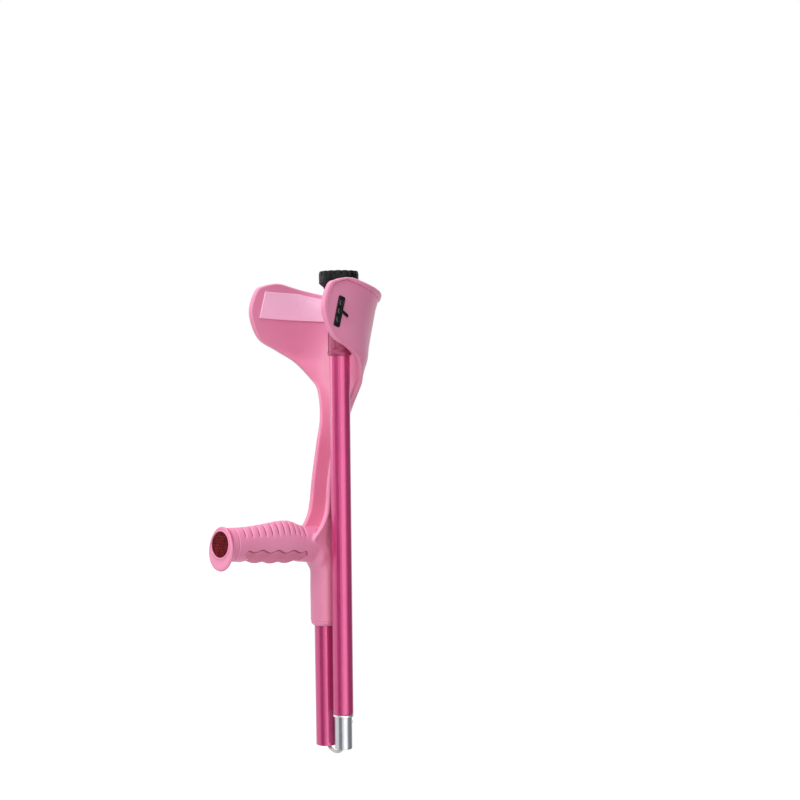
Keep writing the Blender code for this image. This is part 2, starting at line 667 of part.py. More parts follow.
def collar(parent):
    """The collar at the outer tube's open end, chamfered, with a raised rounded panel on its outer side."""
    outer = TUBE_RADIUS + FIT + COLLAR_WALL
    inner = INNER_TUBE_RADIUS + RUN
    step = OUTER_TUBE_HIGH + FIT
    panel = (COLLAR_LOW + COLLAR_PANEL_ABOVE, COLLAR_HIGH - COLLAR_PANEL_BELOW)
    profile = [(outer - COLLAR_EDGE, COLLAR_LOW), (outer, COLLAR_LOW + 2 * COLLAR_EDGE)]
    profile += [(outer, panel[0] + rise) for rise in (-COLLAR_EDGE, COLLAR_EDGE, 4 * COLLAR_EDGE)]
    profile += [(outer, panel[1] - drop) for drop in (4 * COLLAR_EDGE, COLLAR_EDGE, -COLLAR_EDGE)]
    profile += [(outer, COLLAR_HIGH - COLLAR_EDGE), (outer - COLLAR_EDGE, COLLAR_HIGH), (inner, COLLAR_HIGH)]
    profile += [(inner, step), (TUBE_RADIUS + FIT, step), (TUBE_RADIUS + FIT, COLLAR_LOW)]
    rings = []
    for radius, z in profile:
        ring = []
        for i in range(TUBE_SIDES):
            turn = math.tau * (i + 0.5) / TUBE_SIDES
            away = abs((turn - COLLAR_PANEL_TURN + math.pi) % math.tau - math.pi)
            on_panel = panel[0] < z < panel[1] and radius == outer and away < COLLAR_PANEL_HALF
            reach = radius + (COLLAR_PANEL if on_panel else 0)
            ring.append((reach * math.cos(turn), reach * math.sin(turn), z))
        rings.append(ring)
    loft("collar", rings, COLLAR_PINK, parent, closed=True)


def leg(parent):
    """Spigot, ring, outer tube and collar, with what is inside the spigot."""
    profile = pipe_profile(SPIGOT_RADIUS, SPIGOT_BORE, 0, SPIGOT_OUT + SPIGOT_IN, SPIGOT_EDGE)
    spigot = turned("spigot", profile, STEEL, parent)
    cut(spigot, side_hole("spigot_hole", SPIGOT_OUT - FOLD_BUTTON_FROM_RING, parent))
    turned("joint_ring", pipe_profile(RING_RADIUS, SPIGOT_RADIUS + FIT, SPIGOT_OUT,
                                      SPIGOT_OUT + RING_THICKNESS, RING_EDGE), RING_SILVER, parent)
    tube = turned("leg_outer_tube", pipe_profile(TUBE_RADIUS, TUBE_BORE, OUTER_TUBE_LOW, OUTER_TUBE_HIGH),
                  TUBE_PINK, parent)
    first = SPIGOT_OUT + RING_THICKNESS + FIRST_HOLE
    for i in range(HOLE_COUNT):
        cut(tube, side_hole(f"height_hole_{i + 1}", first + i * HOLE_PITCH, parent))
    collar(parent)
    plug = disc_profile(SPIGOT_BORE - FIT, CORD_RADIUS + FIT, STOP_Z, STOP_Z + PLUG_THICKNESS)
    turned("cord_stop_plug", plug, BLACK, parent)


def lower_leg(parent):
    """The inner tube with its bush and end plug, the washer and the ferrule."""
    profile = pipe_profile(INNER_TUBE_RADIUS, INNER_TUBE_BORE, INNER_TUBE_LOW, INNER_TUBE_HIGH)
    tube = turned("inner_tube", profile, TUBE_PINK, parent)
    cut(tube, side_hole("inner_hole", HEIGHT_BUTTON_Z, parent))
    flange, plug = INNER_TUBE_RADIUS, INNER_TUBE_BORE - FIT
    low, high = INNER_TUBE_LOW - FIT, INNER_TUBE_HIGH - FIT
    bush = ((flange - TUBE_EDGE, low - BUSH_FLANGE), (flange, low - BUSH_FLANGE + TUBE_EDGE), (flange, low),
            (plug, low), (plug, low + BUSH_DEPTH), (plug - BUSH_WALL, low + BUSH_DEPTH),
            (plug - BUSH_WALL, low - BUSH_FLANGE))
    turned("glide_bush", bush, BLACK, parent)
    turned("tube_end_plug", ((PLUG_VENT, high), (plug, high), (plug, high - PLUG_DEPTH + SPIGOT_EDGE),
                             (plug - SPIGOT_EDGE, high - PLUG_DEPTH), (PLUG_VENT, high - PLUG_DEPTH)),
           BLACK, parent, hollow=False)
    turned("ferrule_washer", disc_profile(INNER_TUBE_RADIUS, WASHER_BORE, INNER_TUBE_HIGH + FIT,
                                          INNER_TUBE_HIGH + FIT + WASHER_THICKNESS), STEEL, parent)
    ferrule(parent)


def ferrule(parent):
    """The rubber foot: a socket, a flared neck, a stepped band and a sole with notches round its edge."""
    low, high = FERRULE_LOW, FERRULE_HIGH
    neck, base = FERRULE_NECK_RADIUS, FERRULE_BASE_RADIUS
    band = high - FERRULE_BAND
    socket = INNER_TUBE_RADIUS + FIT
    floor = INNER_TUBE_HIGH + WASHER_THICKNESS + 2 * FIT
    profile = [(socket + 0.0006, low), (neck - 0.0006, low), (neck, low + 0.0008), (neck + 0.0006, low + 0.010)]
    profile += [(neck + 0.0040, band - 0.0030), (base - 0.0022, band - 0.0006), (base - 0.0006, band + 0.0004)]
    profile += [(base, band + 0.0020), (base, high - 0.0032), (base - 0.0008, high), (base - 0.0045, high)]
    profile += [(base - 0.0050, high - 0.0012), (base - 0.0090, high - 0.0012), (base - 0.0095, high)]
    profile += [(0.0025, high), (0.0020, high - 0.0012)]
    inside = [(0.0020, floor), (socket, floor), (socket, low + 0.0006)]
    sides = FERRULE_NOTCHES * 3
    rings = []
    for index, (radius, z) in enumerate(profile):
        ring = []
        for i in range(sides):
            turn = math.tau * (i + 0.5) / sides
            notched = i % 3 == 0 and index in FERRULE_EDGE
            reach = radius - (0.0011 if notched else 0)
            drop = 0.0016 if i % 3 == 0 and index in FERRULE_RIM else 0
            ring.append((reach * math.cos(turn), reach * math.sin(turn), z - drop))
        rings.append(ring)
    for radius, z in inside:
        turns = [math.tau * (i + 0.5) / sides for i in range(sides)]
        rings.append([(radius * math.cos(a), radius * math.sin(a), z) for a in turns])
    loft("ferrule", rings, RUBBER, parent, closed=True)


def lean_leg(unfold, swing):
    """Turns the folded leg back about its turning axis, with all that hangs on it."""
    axis = Vector((-swing.y, swing.x, 0))
    unfold.rotation_mode = "QUATERNION"
    unfold.rotation_quaternion = Quaternion(axis, -LEG_LEAN)
    bpy.context.view_layer.update()


def cord_loop(draw, unfold, insert):
    """The cord's free loop, parted in its middle, so that each half follows the body that carries it."""
    end = insert.matrix_world @ Vector((0, 0, CORD_BEND_TOP - FIT))
    mouth = insert.matrix_world @ Vector((0, 0, CORD_BEND_TOP - FIT - CORD_LEAD))
    route = bend_route(TUBE_BASE + Vector((0, 0, CORD_BEND_TOP)), mouth)
    middle = BEND_POINTS // 2
    step = (route[middle + 1] - route[middle]).normalized()
    parting = (route[middle] + route[middle + 1]) / 2
    start = TUBE_BASE + Vector((0, 0, CORD_UPPER_END - FIT))
    upper = [start] + route[:middle + 1] + [parting - step * FIT / 2]
    lower = [parting + step * FIT / 2] + route[middle + 1:] + [end]
    cord("cord_bend_upper", [draw.matrix_world.inverted() @ p for p in upper], draw)
    cord("cord_bend_lower", [unfold.matrix_world.inverted() @ p for p in lower], unfold)


def build():
    handle = empty("handle_frame_axis", TUBE_BASE)
    handle_frame(handle)
    swing = Vector((-math.cos(SWING_ANGLE), -math.sin(SWING_ANGLE), 0))
    offset = Vector((*LEG_OFFSET, 0))
    turning_point = LEG_BASE - swing * (offset.dot(swing) / 2) - Vector((0, 0, SWING_DROP))
    draw = empty("draw_slide", LEG_BASE, handle)
    unfold = empty("unfold_axis", turning_point, draw)
    insert = empty("insert_slide", LEG_BASE, unfold)
    twist = empty("twist_axis", LEG_BASE, insert, 2 * SWING_ANGLE)
    height = empty("height_slide", LEG_BASE, twist)
    lean_leg(unfold, swing)
    cord_loop(draw, unfold, insert)
    cord("cord_lower", [(0, 0, CORD_BEND_TOP), (0, 0, STOP_Z + PLUG_THICKNESS - FIT)], insert)
    knot("cord_knot_lower", STOP_Z + PLUG_THICKNESS + FIT, insert)
    leg(twist)
    fold_z = SPIGOT_OUT - FOLD_BUTTON_FROM_RING
    spring_clip("fold_spring_button", SPIGOT_BORE, (0, 0, fold_z), twist, True)
    lower_leg(height)
    spring_clip("height_spring_button", INNER_TUBE_BORE, (0, 0, HEIGHT_BUTTON_Z), height, False)


clear_scene()
PINK = material("moulded_pink", (0.78, 0.28, 0.38), 0.42)
PAD_PINK = material("pad_pink", (0.66, 0.22, 0.33), 0.55)
STRIP_PINK = material("strip_pink", (0.95, 0.55, 0.72), 0.35)
TUBE_PINK = material("tube_metallic_pink", (0.62, 0.07, 0.25), 0.28, 0.75)
COLLAR_PINK = material("collar_pink", (0.70, 0.16, 0.33), 0.40)
STEEL = material("polished_steel", (0.62, 0.63, 0.65), 0.18, 1.0)
RING_SILVER = material("ring_silver", (0.80, 0.78, 0.80), 0.30, 0.9)
REFLECTOR_RED = material("reflector_red", (0.32, 0.002, 0.008), 0.12)
BLACK = material("black_plastic", (0.02, 0.018, 0.018), 0.45)
RUBBER = material("black_rubber", (0.018, 0.017, 0.017), 0.75)
CORD_WHITE = material("cord_white", (0.80, 0.79, 0.76), 0.85)
build()
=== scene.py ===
import json
import math

import bmesh
import bpy
import numpy as np
from mathutils import Matrix, Vector


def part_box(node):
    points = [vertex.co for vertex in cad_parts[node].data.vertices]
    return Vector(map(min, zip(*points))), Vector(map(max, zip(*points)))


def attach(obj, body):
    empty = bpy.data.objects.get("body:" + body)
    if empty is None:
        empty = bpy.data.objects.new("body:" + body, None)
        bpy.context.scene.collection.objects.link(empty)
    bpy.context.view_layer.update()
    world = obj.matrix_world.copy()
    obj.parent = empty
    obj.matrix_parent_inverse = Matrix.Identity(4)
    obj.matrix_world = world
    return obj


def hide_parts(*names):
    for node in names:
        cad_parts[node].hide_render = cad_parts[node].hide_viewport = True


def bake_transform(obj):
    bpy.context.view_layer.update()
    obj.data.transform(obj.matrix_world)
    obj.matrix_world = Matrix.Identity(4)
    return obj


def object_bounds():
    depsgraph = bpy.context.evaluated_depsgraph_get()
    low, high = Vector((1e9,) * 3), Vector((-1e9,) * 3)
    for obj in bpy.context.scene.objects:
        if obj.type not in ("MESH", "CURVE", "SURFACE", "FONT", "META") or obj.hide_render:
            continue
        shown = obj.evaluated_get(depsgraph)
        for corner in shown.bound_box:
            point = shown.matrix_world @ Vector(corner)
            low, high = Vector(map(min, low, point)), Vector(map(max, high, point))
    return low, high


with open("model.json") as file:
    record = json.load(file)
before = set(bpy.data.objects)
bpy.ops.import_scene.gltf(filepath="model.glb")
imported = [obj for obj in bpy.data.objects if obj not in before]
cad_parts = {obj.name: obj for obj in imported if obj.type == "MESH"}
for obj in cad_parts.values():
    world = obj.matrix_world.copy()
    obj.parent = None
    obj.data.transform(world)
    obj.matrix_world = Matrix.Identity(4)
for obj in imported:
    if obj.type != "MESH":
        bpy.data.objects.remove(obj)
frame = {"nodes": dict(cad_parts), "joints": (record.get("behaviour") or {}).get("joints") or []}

cadLow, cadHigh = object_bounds()
bpy.context.scene.view_settings.view_transform = "Standard"
tau = 2 * math.pi


def unit(v):
    # Each vector divided by its length.
    return v / np.maximum(np.linalg.norm(v, axis=-1, keepdims=True), 1e-12)


joints = {joint["name"]: joint for joint in frame["joints"]}
tubeLow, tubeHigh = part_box("upper_tube")
tubeFoot = np.array([(tubeLow.x + tubeHigh.x) / 2, (tubeLow.y + tubeHigh.y) / 2, tubeLow.z])

# The folded leg's own axes: origin at the spigot's tip, z up the leg, x towards its spring buttons
legUp = unit(np.array(joints["twist"]["axis"]))
legRear = -np.array(joints["fold_button_press"]["axis"])
legRear = unit(legRear - legUp * (legRear @ legUp))
legTurn = np.column_stack([legRear, np.cross(legUp, legRear), legUp])
legFoot = np.array(joints["twist"]["pos_m"])


def fromTube(points):
    # From heights above the upper tube's lower end into space: a shift.
    return points + tubeFoot


def fromLeg(points):
    # From the leg's own axes into space: a turn and a shift.
    return points @ legTurn.T + legFoot


def addObject(name, data):
    # A new object in the scene.
    item = bpy.data.objects.new(name, data)
    bpy.context.scene.collection.objects.link(item)
    return item


# The camera stands level, in front of the crutch and on its near side
cameraSettings = {
    "azimuth": -43.49,      # degrees from the view along +Y, towards the grip
    "distance": 1.550,      # from the upper tube's axis, metres
    "height": 0.3941,       # of the lens above the upper tube's lower end
    "framePixels": 800,
    "focalPixels": 1421.8,  # focal length in pixels of the frame
    "axisPixel": 320.8,     # where the lens axis meets the frame
    "horizonPixel": 382.2,
    "roll": -0.88,          # degrees about the lens axis
}


def lookingFrom(azimuth):
    # Level directions for a viewer at an azimuth in degrees: to the viewer's right, and towards the viewer.
    turn = math.radians(azimuth)
    return Vector((math.cos(turn), math.sin(turn), 0)), Vector((math.sin(turn), -math.cos(turn), 0))


def makeCamera(c):
    # A level camera at a distance from the tube, turned about its lens axis, with its lens shifted.
    size = c["framePixels"]
    data = bpy.data.cameras.new("camera")
    data.sensor_width = 36
    data.lens = c["focalPixels"] * data.sensor_width / size
    data.shift_x = (size / 2 - c["axisPixel"]) / size
    data.shift_y = (c["horizonPixel"] - size / 2) / size
    back = lookingFrom(c["azimuth"])[1]
    pose = Matrix.Translation(Vector(tubeFoot) + Vector((0, 0, c["height"])) + back * c["distance"])
    for angle, axis in ((c["azimuth"], "Z"), (90, "X"), (c["roll"], "Z")):
        pose = pose @ Matrix.Rotation(math.radians(angle), 4, axis)
    camera = addObject("camera", data)
    camera.matrix_world = pose
    bpy.context.scene.camera = camera


makeCamera(cameraSettings)
print("camera placed")


# Meshes from grids of points

def gridFaces(rows, columns, closedRows=False, closedColumns=True, caps=(False, False)):
    # Quads between neighbours of a grid, wrapped round where it is closed, with caps on its first or last row.
    r = np.arange(rows if closedRows else rows - 1)[:, None]
    c = np.arange(columns if closedColumns else columns - 1)[None, :]
    right, below = (c + 1) % columns, (r + 1) % rows
    corners = (r * columns + c, r * columns + right, below * columns + right, below * columns + c)
    faces = [tuple(f) for f in np.stack(corners, axis=-1).reshape(-1, 4)]
    if caps[0]:
        faces.append(tuple(range(columns))[::-1])
    if caps[1]:
        faces.append(tuple(range((rows - 1) * columns, rows * columns)))
    return faces


def smoothShade(mesh, sharp=None):
    # Smooth shading, with edges sharper than the angle, in degrees, kept sharp.
    mesh.shade_smooth()
    if sharp is not None:
        mesh.set_sharp_from_angle(angle=math.radians(sharp))


def meshPiece(name, points, faces, merge=1e-6, sharp=None):
    # An object from points and faces, with doubles merged and faces turned out.
    mesh = bpy.data.meshes.new(name)
    mesh.from_pydata(points.tolist(), [], faces)
    shape = bmesh.new()
    shape.from_mesh(mesh)
    bmesh.ops.remove_doubles(shape, verts=shape.verts, dist=merge)
    bmesh.ops.dissolve_degenerate(shape, edges=shape.edges, dist=merge)
    bmesh.ops.recalc_face_normals(shape, faces=shape.faces)
    if shape.calc_volume(signed=True) < 0:
        bmesh.ops.reverse_faces(shape, faces=shape.faces)
    shape.to_mesh(mesh)
    shape.free()
    smoothShade(mesh, sharp)
    return addObject(name, mesh)


def gridPiece(name, grid, place, closedRows=False, closedColumns=True, caps=(True, True), **options):
    # A piece from a grid of points: rows by columns by x, y, z, in the axes that place turns into space.
    faces = gridFaces(*grid.shape[:2], closedRows, closedColumns, caps)
    return meshPiece(name, place(grid.reshape(-1, 3)), faces, **options)


def around(count):
    # Even angles round a full turn.
    return tau * np.arange(count) / count


def turned(radius, height, angle):
    # Points at a radius and a height, carried round the z axis.
    return np.stack([radius * np.cos(angle), radius * np.sin(angle), height + 0 * radius * angle], axis=-1)


def roundedLine(corners, radii, steps):
    # A flat closed outline with each corner rounded: a quadratic curve from one side to the next.
    corners = np.asarray(corners, float)
    radii = np.asarray(radii, float)[:, None]
    start = corners + unit(np.roll(corners, 1, axis=0) - corners) * radii
    end = corners + unit(np.roll(corners, -1, axis=0) - corners) * radii
    t = np.linspace(0, 1, steps)[None, :, None]
    curve = (1 - t) ** 2 * start[:, None] + 2 * t * (1 - t) * corners[:, None] + t**2 * end[:, None]
    return curve.reshape(-1, 2)


def roundBars(starts, ends, radius, sides):
    # Plain round bars between pairs of points, in one mesh: they cut holes or fill them.
    points, faces = [], []
    for start, end in zip(starts, ends):
        along = unit(end - start)
        side = unit(np.cross(along, [0.0, 0.0, 1.0] if abs(along[2]) < 0.9 else [1.0, 0.0, 0.0]))
        angle = around(sides)[:, None]
        ring = radius * (np.cos(angle) * side + np.sin(angle) * np.cross(along, side))
        base = 2 * sides * (len(points) // 2)
        points += [start + ring, end + ring]
        faces += [tuple(base + np.array(f)) for f in gridFaces(2, sides)]
        faces += [tuple(base + np.arange(sides)), tuple(base + sides + np.arange(sides))]
    return meshPiece("bars", np.concatenate(points), faces)


def shapeBy(piece, *tools):
    # Joins or cuts the piece by each tool in turn, with the exact solver, and keeps the result as its mesh.
    for operation, tool in tools:
        change = piece.modifiers.new(operation.lower(), "BOOLEAN")
        change.operation, change.solver, change.object = operation, "EXACT", tool
    solved = piece.evaluated_get(bpy.context.evaluated_depsgraph_get())
    mesh = bpy.data.meshes.new_from_object(solved)
    piece.modifiers.clear()
    piece.data = mesh
    for _, tool in tools:
        bpy.data.objects.remove(tool, do_unlink=True)


def bevelEdges(piece, width, segments):
    # Sharp edges rounded by a live bevel.
    bevel = piece.modifiers.new("bevel", "BEVEL")
    bevel.width, bevel.segments, bevel.limit_method = width, segments, "ANGLE"


def finish(piece, material, body, node):
    # Gives a piece its material and its body, or bakes its place into its mesh where two bodies are given, and hides
    # the CAD node.
    piece.data.materials.clear()
    piece.data.materials.append(material)
    if isinstance(body, str):
        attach(piece, body)
    else:
        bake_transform(piece)
    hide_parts(node)


def ease(low, high, value):
    # 0 below low, 1 above high, and a smooth step between.
    t = np.clip((value - low) / (high - low), 0, 1)
    return t * t * (3 - 2 * t)


def smoothCurve(value, stops, heights):
    # A cubic curve through the stops: its slope at each is the mean of the slopes on both sides.
    stops, heights = np.array(stops), np.array(heights)
    slope = np.diff(heights) / np.diff(stops)
    lean = np.concatenate([slope[:1], (slope[:-1] + slope[1:]) / 2, slope[-1:]])
    value = np.clip(value, stops[0], stops[-1])
    i = np.clip(np.searchsorted(stops, value, side="right") - 1, 0, len(stops) - 2)
    step = stops[i + 1] - stops[i]
    t = (value - stops[i]) / step
    return (heights[i] * (1 + 2 * t) * (1 - t) ** 2 + lean[i] * step * t * (1 - t) ** 2
            + heights[i + 1] * t**2 * (3 - 2 * t) + lean[i + 1] * step * t**2 * (t - 1))


# Materials

def setInputs(tree, node, inputs):
    # Gives a node's inputs their values, or links them where the value is another node's output.
    for key, value in inputs.items():
        socket = node.inputs[key]
        if isinstance(value, bpy.types.NodeSocket):
            tree.links.new(value, socket)
        else:
            socket.default_value = (*value, 1) if socket.type == "RGBA" else value


def newNode(tree, kind, inputs, **settings):
    # A shader node with its inputs and other settings.
    node = tree.nodes.new("ShaderNode" + kind)
    for name, value in settings.items():
        setattr(node, name, value)
    setInputs(tree, node, inputs)
    return node


def maths(tree, operation, *values):
    # The output of one Math node.
    return newNode(tree, "Math", dict(enumerate(values)), operation=operation).outputs[0]


def noise(tree, vector, scale, detail=3.0, roughness=0.55):
    # Grey noise round 0.5.
    inputs = {"Vector": vector, "Scale": scale, "Detail": detail, "Roughness": roughness}
    return newNode(tree, "TexNoise", inputs).outputs["Fac"]


def colourRamp(tree, factor, low, high, start=0.3, end=0.7):
    # One colour up to start, another from end on, and an even blend between.
    ramp = newNode(tree, "ValToRGB", {"Fac": factor})
    for element, place, colour in zip(ramp.color_ramp.elements, (start, end), (low, high)):
        element.position, element.color = place, (*colour, 1)
    return ramp.outputs["Color"]


def spread(tree, value, low, high, fromLow=0.25, fromHigh=0.75, kind="LINEAR"):
    # A value's span from fromLow to fromHigh, spread over low to high.
    inputs = {"Value": value, "From Min": fromLow, "From Max": fromHigh, "To Min": low, "To Max": high}
    return newNode(tree, "MapRange", inputs, interpolation_type=kind).outputs["Result"]


def bump(tree, height, strength, distance):
    # A normal tilted by the slope of a height.
    return newNode(tree, "Bump", {"Height": height, "Strength": strength, "Distance": distance}).outputs["Normal"]


def mixColour(tree, factor, first, second):
    # The first colour at 0, the second at 1, and an even mix between.
    return newNode(tree, "Mix", {0: factor, 6: first, 7: second}, data_type="RGBA").outputs[2]


def newGroup(name, outputs, **inputs):
    # A node group that takes a vector and plain numbers, and puts out masks and values.
    group = bpy.data.node_groups.new(name, "ShaderNodeTree")
    group.interface.new_socket("Vector", in_out="INPUT", socket_type="NodeSocketVector")
    for label, value in inputs.items():
        group.interface.new_socket(label, in_out="INPUT", socket_type="NodeSocketFloat").default_value = value
    for label in outputs:
        group.interface.new_socket(label, in_out="OUTPUT", socket_type="NodeSocketFloat")
    return group, group.nodes.new("NodeGroupInput").outputs, group.nodes.new("NodeGroupOutput")


def makeGrainGroup():
    # Moulded grain: fine pits from a small noise, on broad soft clouds, with faint dust specks.
    group, given, out = newGroup("mouldedGrain", ("Height", "Cloud", "Speck"), Grain=900.0, Clouds=18.0)
    speck = newNode(group, "TexVoronoi", {"Vector": given["Vector"], "Scale": 160.0}).outputs["Distance"]
    setInputs(group, out, {
        "Height": noise(group, given["Vector"], given["Grain"], 2.0, 0.5),
        "Cloud": noise(group, given["Vector"], given["Clouds"], 4.0, 0.5),
        "Speck": maths(group, "LESS_THAN", speck, 0.06),
    })
    return group


def makeDrawnGroup():
    # Drawn and anodised tube: long faint lines along the tube, and a soft cloud in the dye.
    group, given, out = newGroup("drawnMetal", ("Lines", "Cloud"), Fineness=700.0)
    squeezed = newNode(group, "Mapping", {"Vector": given["Vector"], "Scale": (1.0, 1.0, 0.012)}).outputs["Vector"]
    setInputs(group, out, {"Lines": noise(group, squeezed, given["Fineness"], 3.0, 0.5),
                           "Cloud": noise(group, given["Vector"], 24.0)})
    return group


def makeWearGroup():
    # Handling wear: short scratches where a stretched noise peaks, inside broad soft patches.
    group, given, out = newGroup("handlingWear", ("Mask",), Amount=0.5)
    stretched = newNode(group, "Mapping", {"Vector": given["Vector"], "Rotation": (0.35, 0.2, 0.0),
                                           "Scale": (1.0, 1.0, 0.16)}).outputs["Vector"]
    scratch = maths(group, "GREATER_THAN", noise(group, stretched, 420.0, 2.0), 0.70)
    patchy = maths(group, "MULTIPLY", scratch, noise(group, given["Vector"], 30.0, 2.0))
    setInputs(group, out, {"Mask": maths(group, "MULTIPLY", patchy, given["Amount"])})
    return group


grainGroup, drawnGroup, wearGroup = makeGrainGroup(), makeDrawnGroup(), makeWearGroup()


def plainMaterial(name):
    # A material with its node tree, its Principled shader and Object coordinates.
    material = bpy.data.materials.new(name)
    material.use_nodes = True
    tree = material.node_tree
    place = tree.nodes.new("ShaderNodeTexCoord").outputs["Object"]
    return material, tree, tree.nodes["Principled BSDF"], place


def srgb(text):
    # A colour from its six hex digits, as linear light.
    value = np.array([int(text[i:i + 2], 16) for i in (0, 2, 4)]) / 255
    return tuple(np.where(value <= 0.04045, value / 12.92, ((value + 0.055) / 1.055) ** 2.4))


def gloss(m):
    # The plain numbers of a finish, for the shader's own sockets.
    return {"Specular IOR Level": m["specular"], "Coat Weight": m["coat"], "Coat Roughness": m["coatRoughness"]}


def mouldedMaterial(name, m):
    # Moulded plastic: grain in the bump, soft clouds in colour and gloss, a few specks of dust.
    material, tree, shader, place = plainMaterial(name)
    grain = newNode(tree, "Group", {"Vector": place, "Grain": m["grainScale"], "Clouds": m["cloudScale"]},
                    node_tree=grainGroup).outputs
    clouded = colourRamp(tree, grain["Cloud"], m["low"], m["high"])
    dusty = maths(tree, "MULTIPLY", grain["Speck"], m["dustAmount"])
    setInputs(tree, shader, {
        "Base Color": mixColour(tree, dusty, clouded, m["dust"]),
        "Roughness": spread(tree, grain["Cloud"], *m["roughness"]),
        "Normal": bump(tree, grain["Height"], m["bump"], m["bumpDepth"]),
        **gloss(m)})
    return material


def metalMaterial(name, m):
    # Drawn metal: lines along the tube in colour, gloss and bump, and short handling scratches.
    material, tree, shader, place = plainMaterial(name)
    drawn = newNode(tree, "Group", {"Vector": place, "Fineness": m["lineScale"]}, node_tree=drawnGroup).outputs
    wear = newNode(tree, "Group", {"Vector": place, "Amount": m["wear"]}, node_tree=wearGroup).outputs["Mask"]
    dyed = colourRamp(tree, maths(tree, "MULTIPLY", drawn["Lines"], drawn["Cloud"]), m["low"], m["high"], 0.12, 0.42)
    setInputs(tree, shader, {
        "Base Color": mixColour(tree, wear, dyed, m["bare"]),
        "Roughness": spread(tree, drawn["Lines"], *m["roughness"]),
        "Normal": bump(tree, drawn["Lines"], m["bump"], m["bumpDepth"]),
        "Metallic": m["metallic"], **gloss(m)})
    return material


def fibreMaterial(name, m, weave):
    # Woven fibre: weave gives the strands' height, and a fine noise on it roughens colour and gloss. The colour is
    # darker where the height is low: painted shade in the weave's hollows.
    material, tree, shader, place = plainMaterial(name)
    fibre = noise(tree, place, m["fibreScale"])
    height = maths(tree, "ADD", weave(tree, place), maths(tree, "MULTIPLY", fibre, 0.3))
    setInputs(tree, shader, {
        "Base Color": colourRamp(tree, height, m["low"], m["high"], 0.1, m["paleFrom"]),
        "Roughness": spread(tree, fibre, 0.75, 0.95),
        "Normal": bump(tree, height, m["bump"], m["bumpDepth"]),
        "Sheen Weight": m["sheen"]})
    return material


def braidWeave(tree, place):
    # Hollows between strands, from the cord's own UV map: two sines wound opposite ways, multiplied.
    uv = newNode(tree, "UVMap", {}, uv_map="braid").outputs["UV"]
    axes = newNode(tree, "SeparateXYZ", {"Vector": uv}).outputs
    waves = [maths(tree, "SINE", maths(tree, "MULTIPLY", maths(tree, way, axes["X"], axes["Y"]), tau))
             for way in ("ADD", "SUBTRACT")]
    return maths(tree, "ABSOLUTE", maths(tree, "MULTIPLY", *waves))


def knotWeave(tree, place):
    # Wound turns of a pulled knot: a slanting wave along its height.
    wave = newNode(tree, "TexWave", {"Vector": place, "Scale": 320.0, "Distortion": 2.5}, bands_direction="DIAGONAL")
    return wave.outputs["Fac"]


def reflectorMaterial(name, m):
    # Clear red lens over prisms: deep red that turns brighter in cells, under a glossy coat.
    material, tree, shader, place = plainMaterial(name)
    cells = newNode(tree, "TexVoronoi", {"Vector": place, "Scale": m["cellScale"]}).outputs["Distance"]
    glow = noise(tree, place, 60.0, 2.0)
    setInputs(tree, shader, {
        "Base Color": colourRamp(tree, maths(tree, "MULTIPLY", cells, glow), m["low"], m["high"], 0.02, 0.5),
        "Roughness": spread(tree, glow, *m["roughness"]),
        "Normal": bump(tree, cells, m["bump"], m["bumpDepth"]),
        **gloss(m)})
    return material


mouldedFinish = {
    "low": srgb("E287AA"), "high": srgb("E991B3"), "dust": srgb("F2C4D2"), "dustAmount": 0.25,
    "grainScale": 1400.0, "cloudScale": 16.0, "roughness": (0.36, 0.46), "bump": 0.10, "bumpDepth": 0.0002,
    "specular": 0.5, "coat": 0.12, "coatRoughness": 0.3,
}
padFinish = {**mouldedFinish, "low": srgb("CF7290"), "high": srgb("D87D9B"), "roughness": (0.5, 0.62),
             "grainScale": 900.0, "bump": 0.25, "coat": 0.0}
# The collar's colour is darkened to stand for the near wing's shadow on it: painted shade.
collarPaintedShadeFinish = {**mouldedFinish, "low": srgb("983059"), "high": srgb("A33A62"), "roughness": (0.26, 0.36),
                "bump": 0.04, "coat": 0.15, "coatRoughness": 0.2}
stripFinish = {**mouldedFinish, "low": srgb("FFC2E2"), "high": srgb("FFC9E6"), "dust": srgb("FFE0EE"),
               "roughness": (0.24, 0.34), "bump": 0.05, "coat": 0.35, "coatRoughness": 0.15}
blackFinish = {**mouldedFinish, "low": srgb("0B0809"), "high": srgb("120D0E"), "dust": srgb("2E2829"),
               "roughness": (0.16, 0.24), "bump": 0.06, "specular": 0.6, "coat": 0.3, "coatRoughness": 0.1}
rubberFinish = {**mouldedFinish, "low": srgb("080808"), "high": srgb("100F0F"), "dust": srgb("2A2829"),
                "dustAmount": 0.3, "grainScale": 700.0, "roughness": (0.42, 0.58), "bump": 0.22, "specular": 0.2,
                "coat": 0.0}
tubeFinish = {
    "low": srgb("C43A78"), "high": srgb("CC4481"), "bare": srgb("E7A6C4"), "lineScale": 900.0, "wear": 0.25,
    "roughness": (0.22, 0.30), "bump": 0.04, "bumpDepth": 0.0001, "metallic": 0.40, "specular": 0.8,
    "coat": 0.5, "coatRoughness": 0.15,
}
chromeFinish = {**tubeFinish, "low": srgb("BFC3C8"), "high": srgb("D0D3D6"), "bare": srgb("E8E8EA"),
                "roughness": (0.20, 0.28), "bump": 0.03, "metallic": 0.72, "specular": 0.5, "coat": 0.0, "wear": 0.4}
ringFinish = {**chromeFinish, "low": srgb("E2DADF"), "high": srgb("F0E9ED"), "roughness": (0.28, 0.38),
              "metallic": 0.8}
steelFinish = {**chromeFinish, "low": srgb("A7A9AD"), "high": srgb("BBBDC0"), "roughness": (0.22, 0.34)}
# Cord colours: the darker low colour lies in the weave's hollows as painted shade, and the pale high colour is the
# cord's own white.
cordFinish = {"low": srgb("9C9890"), "high": srgb("F1EFEA"), "paleFrom": 0.8, "fibreScale": 2200.0,
              "bump": 0.6, "bumpDepth": 0.0002, "sheen": 0.3}
knotFinish = {**cordFinish, "paleFrom": 0.9, "fibreScale": 1800.0, "bump": 0.7, "bumpDepth": 0.0004, "sheen": 0.0}
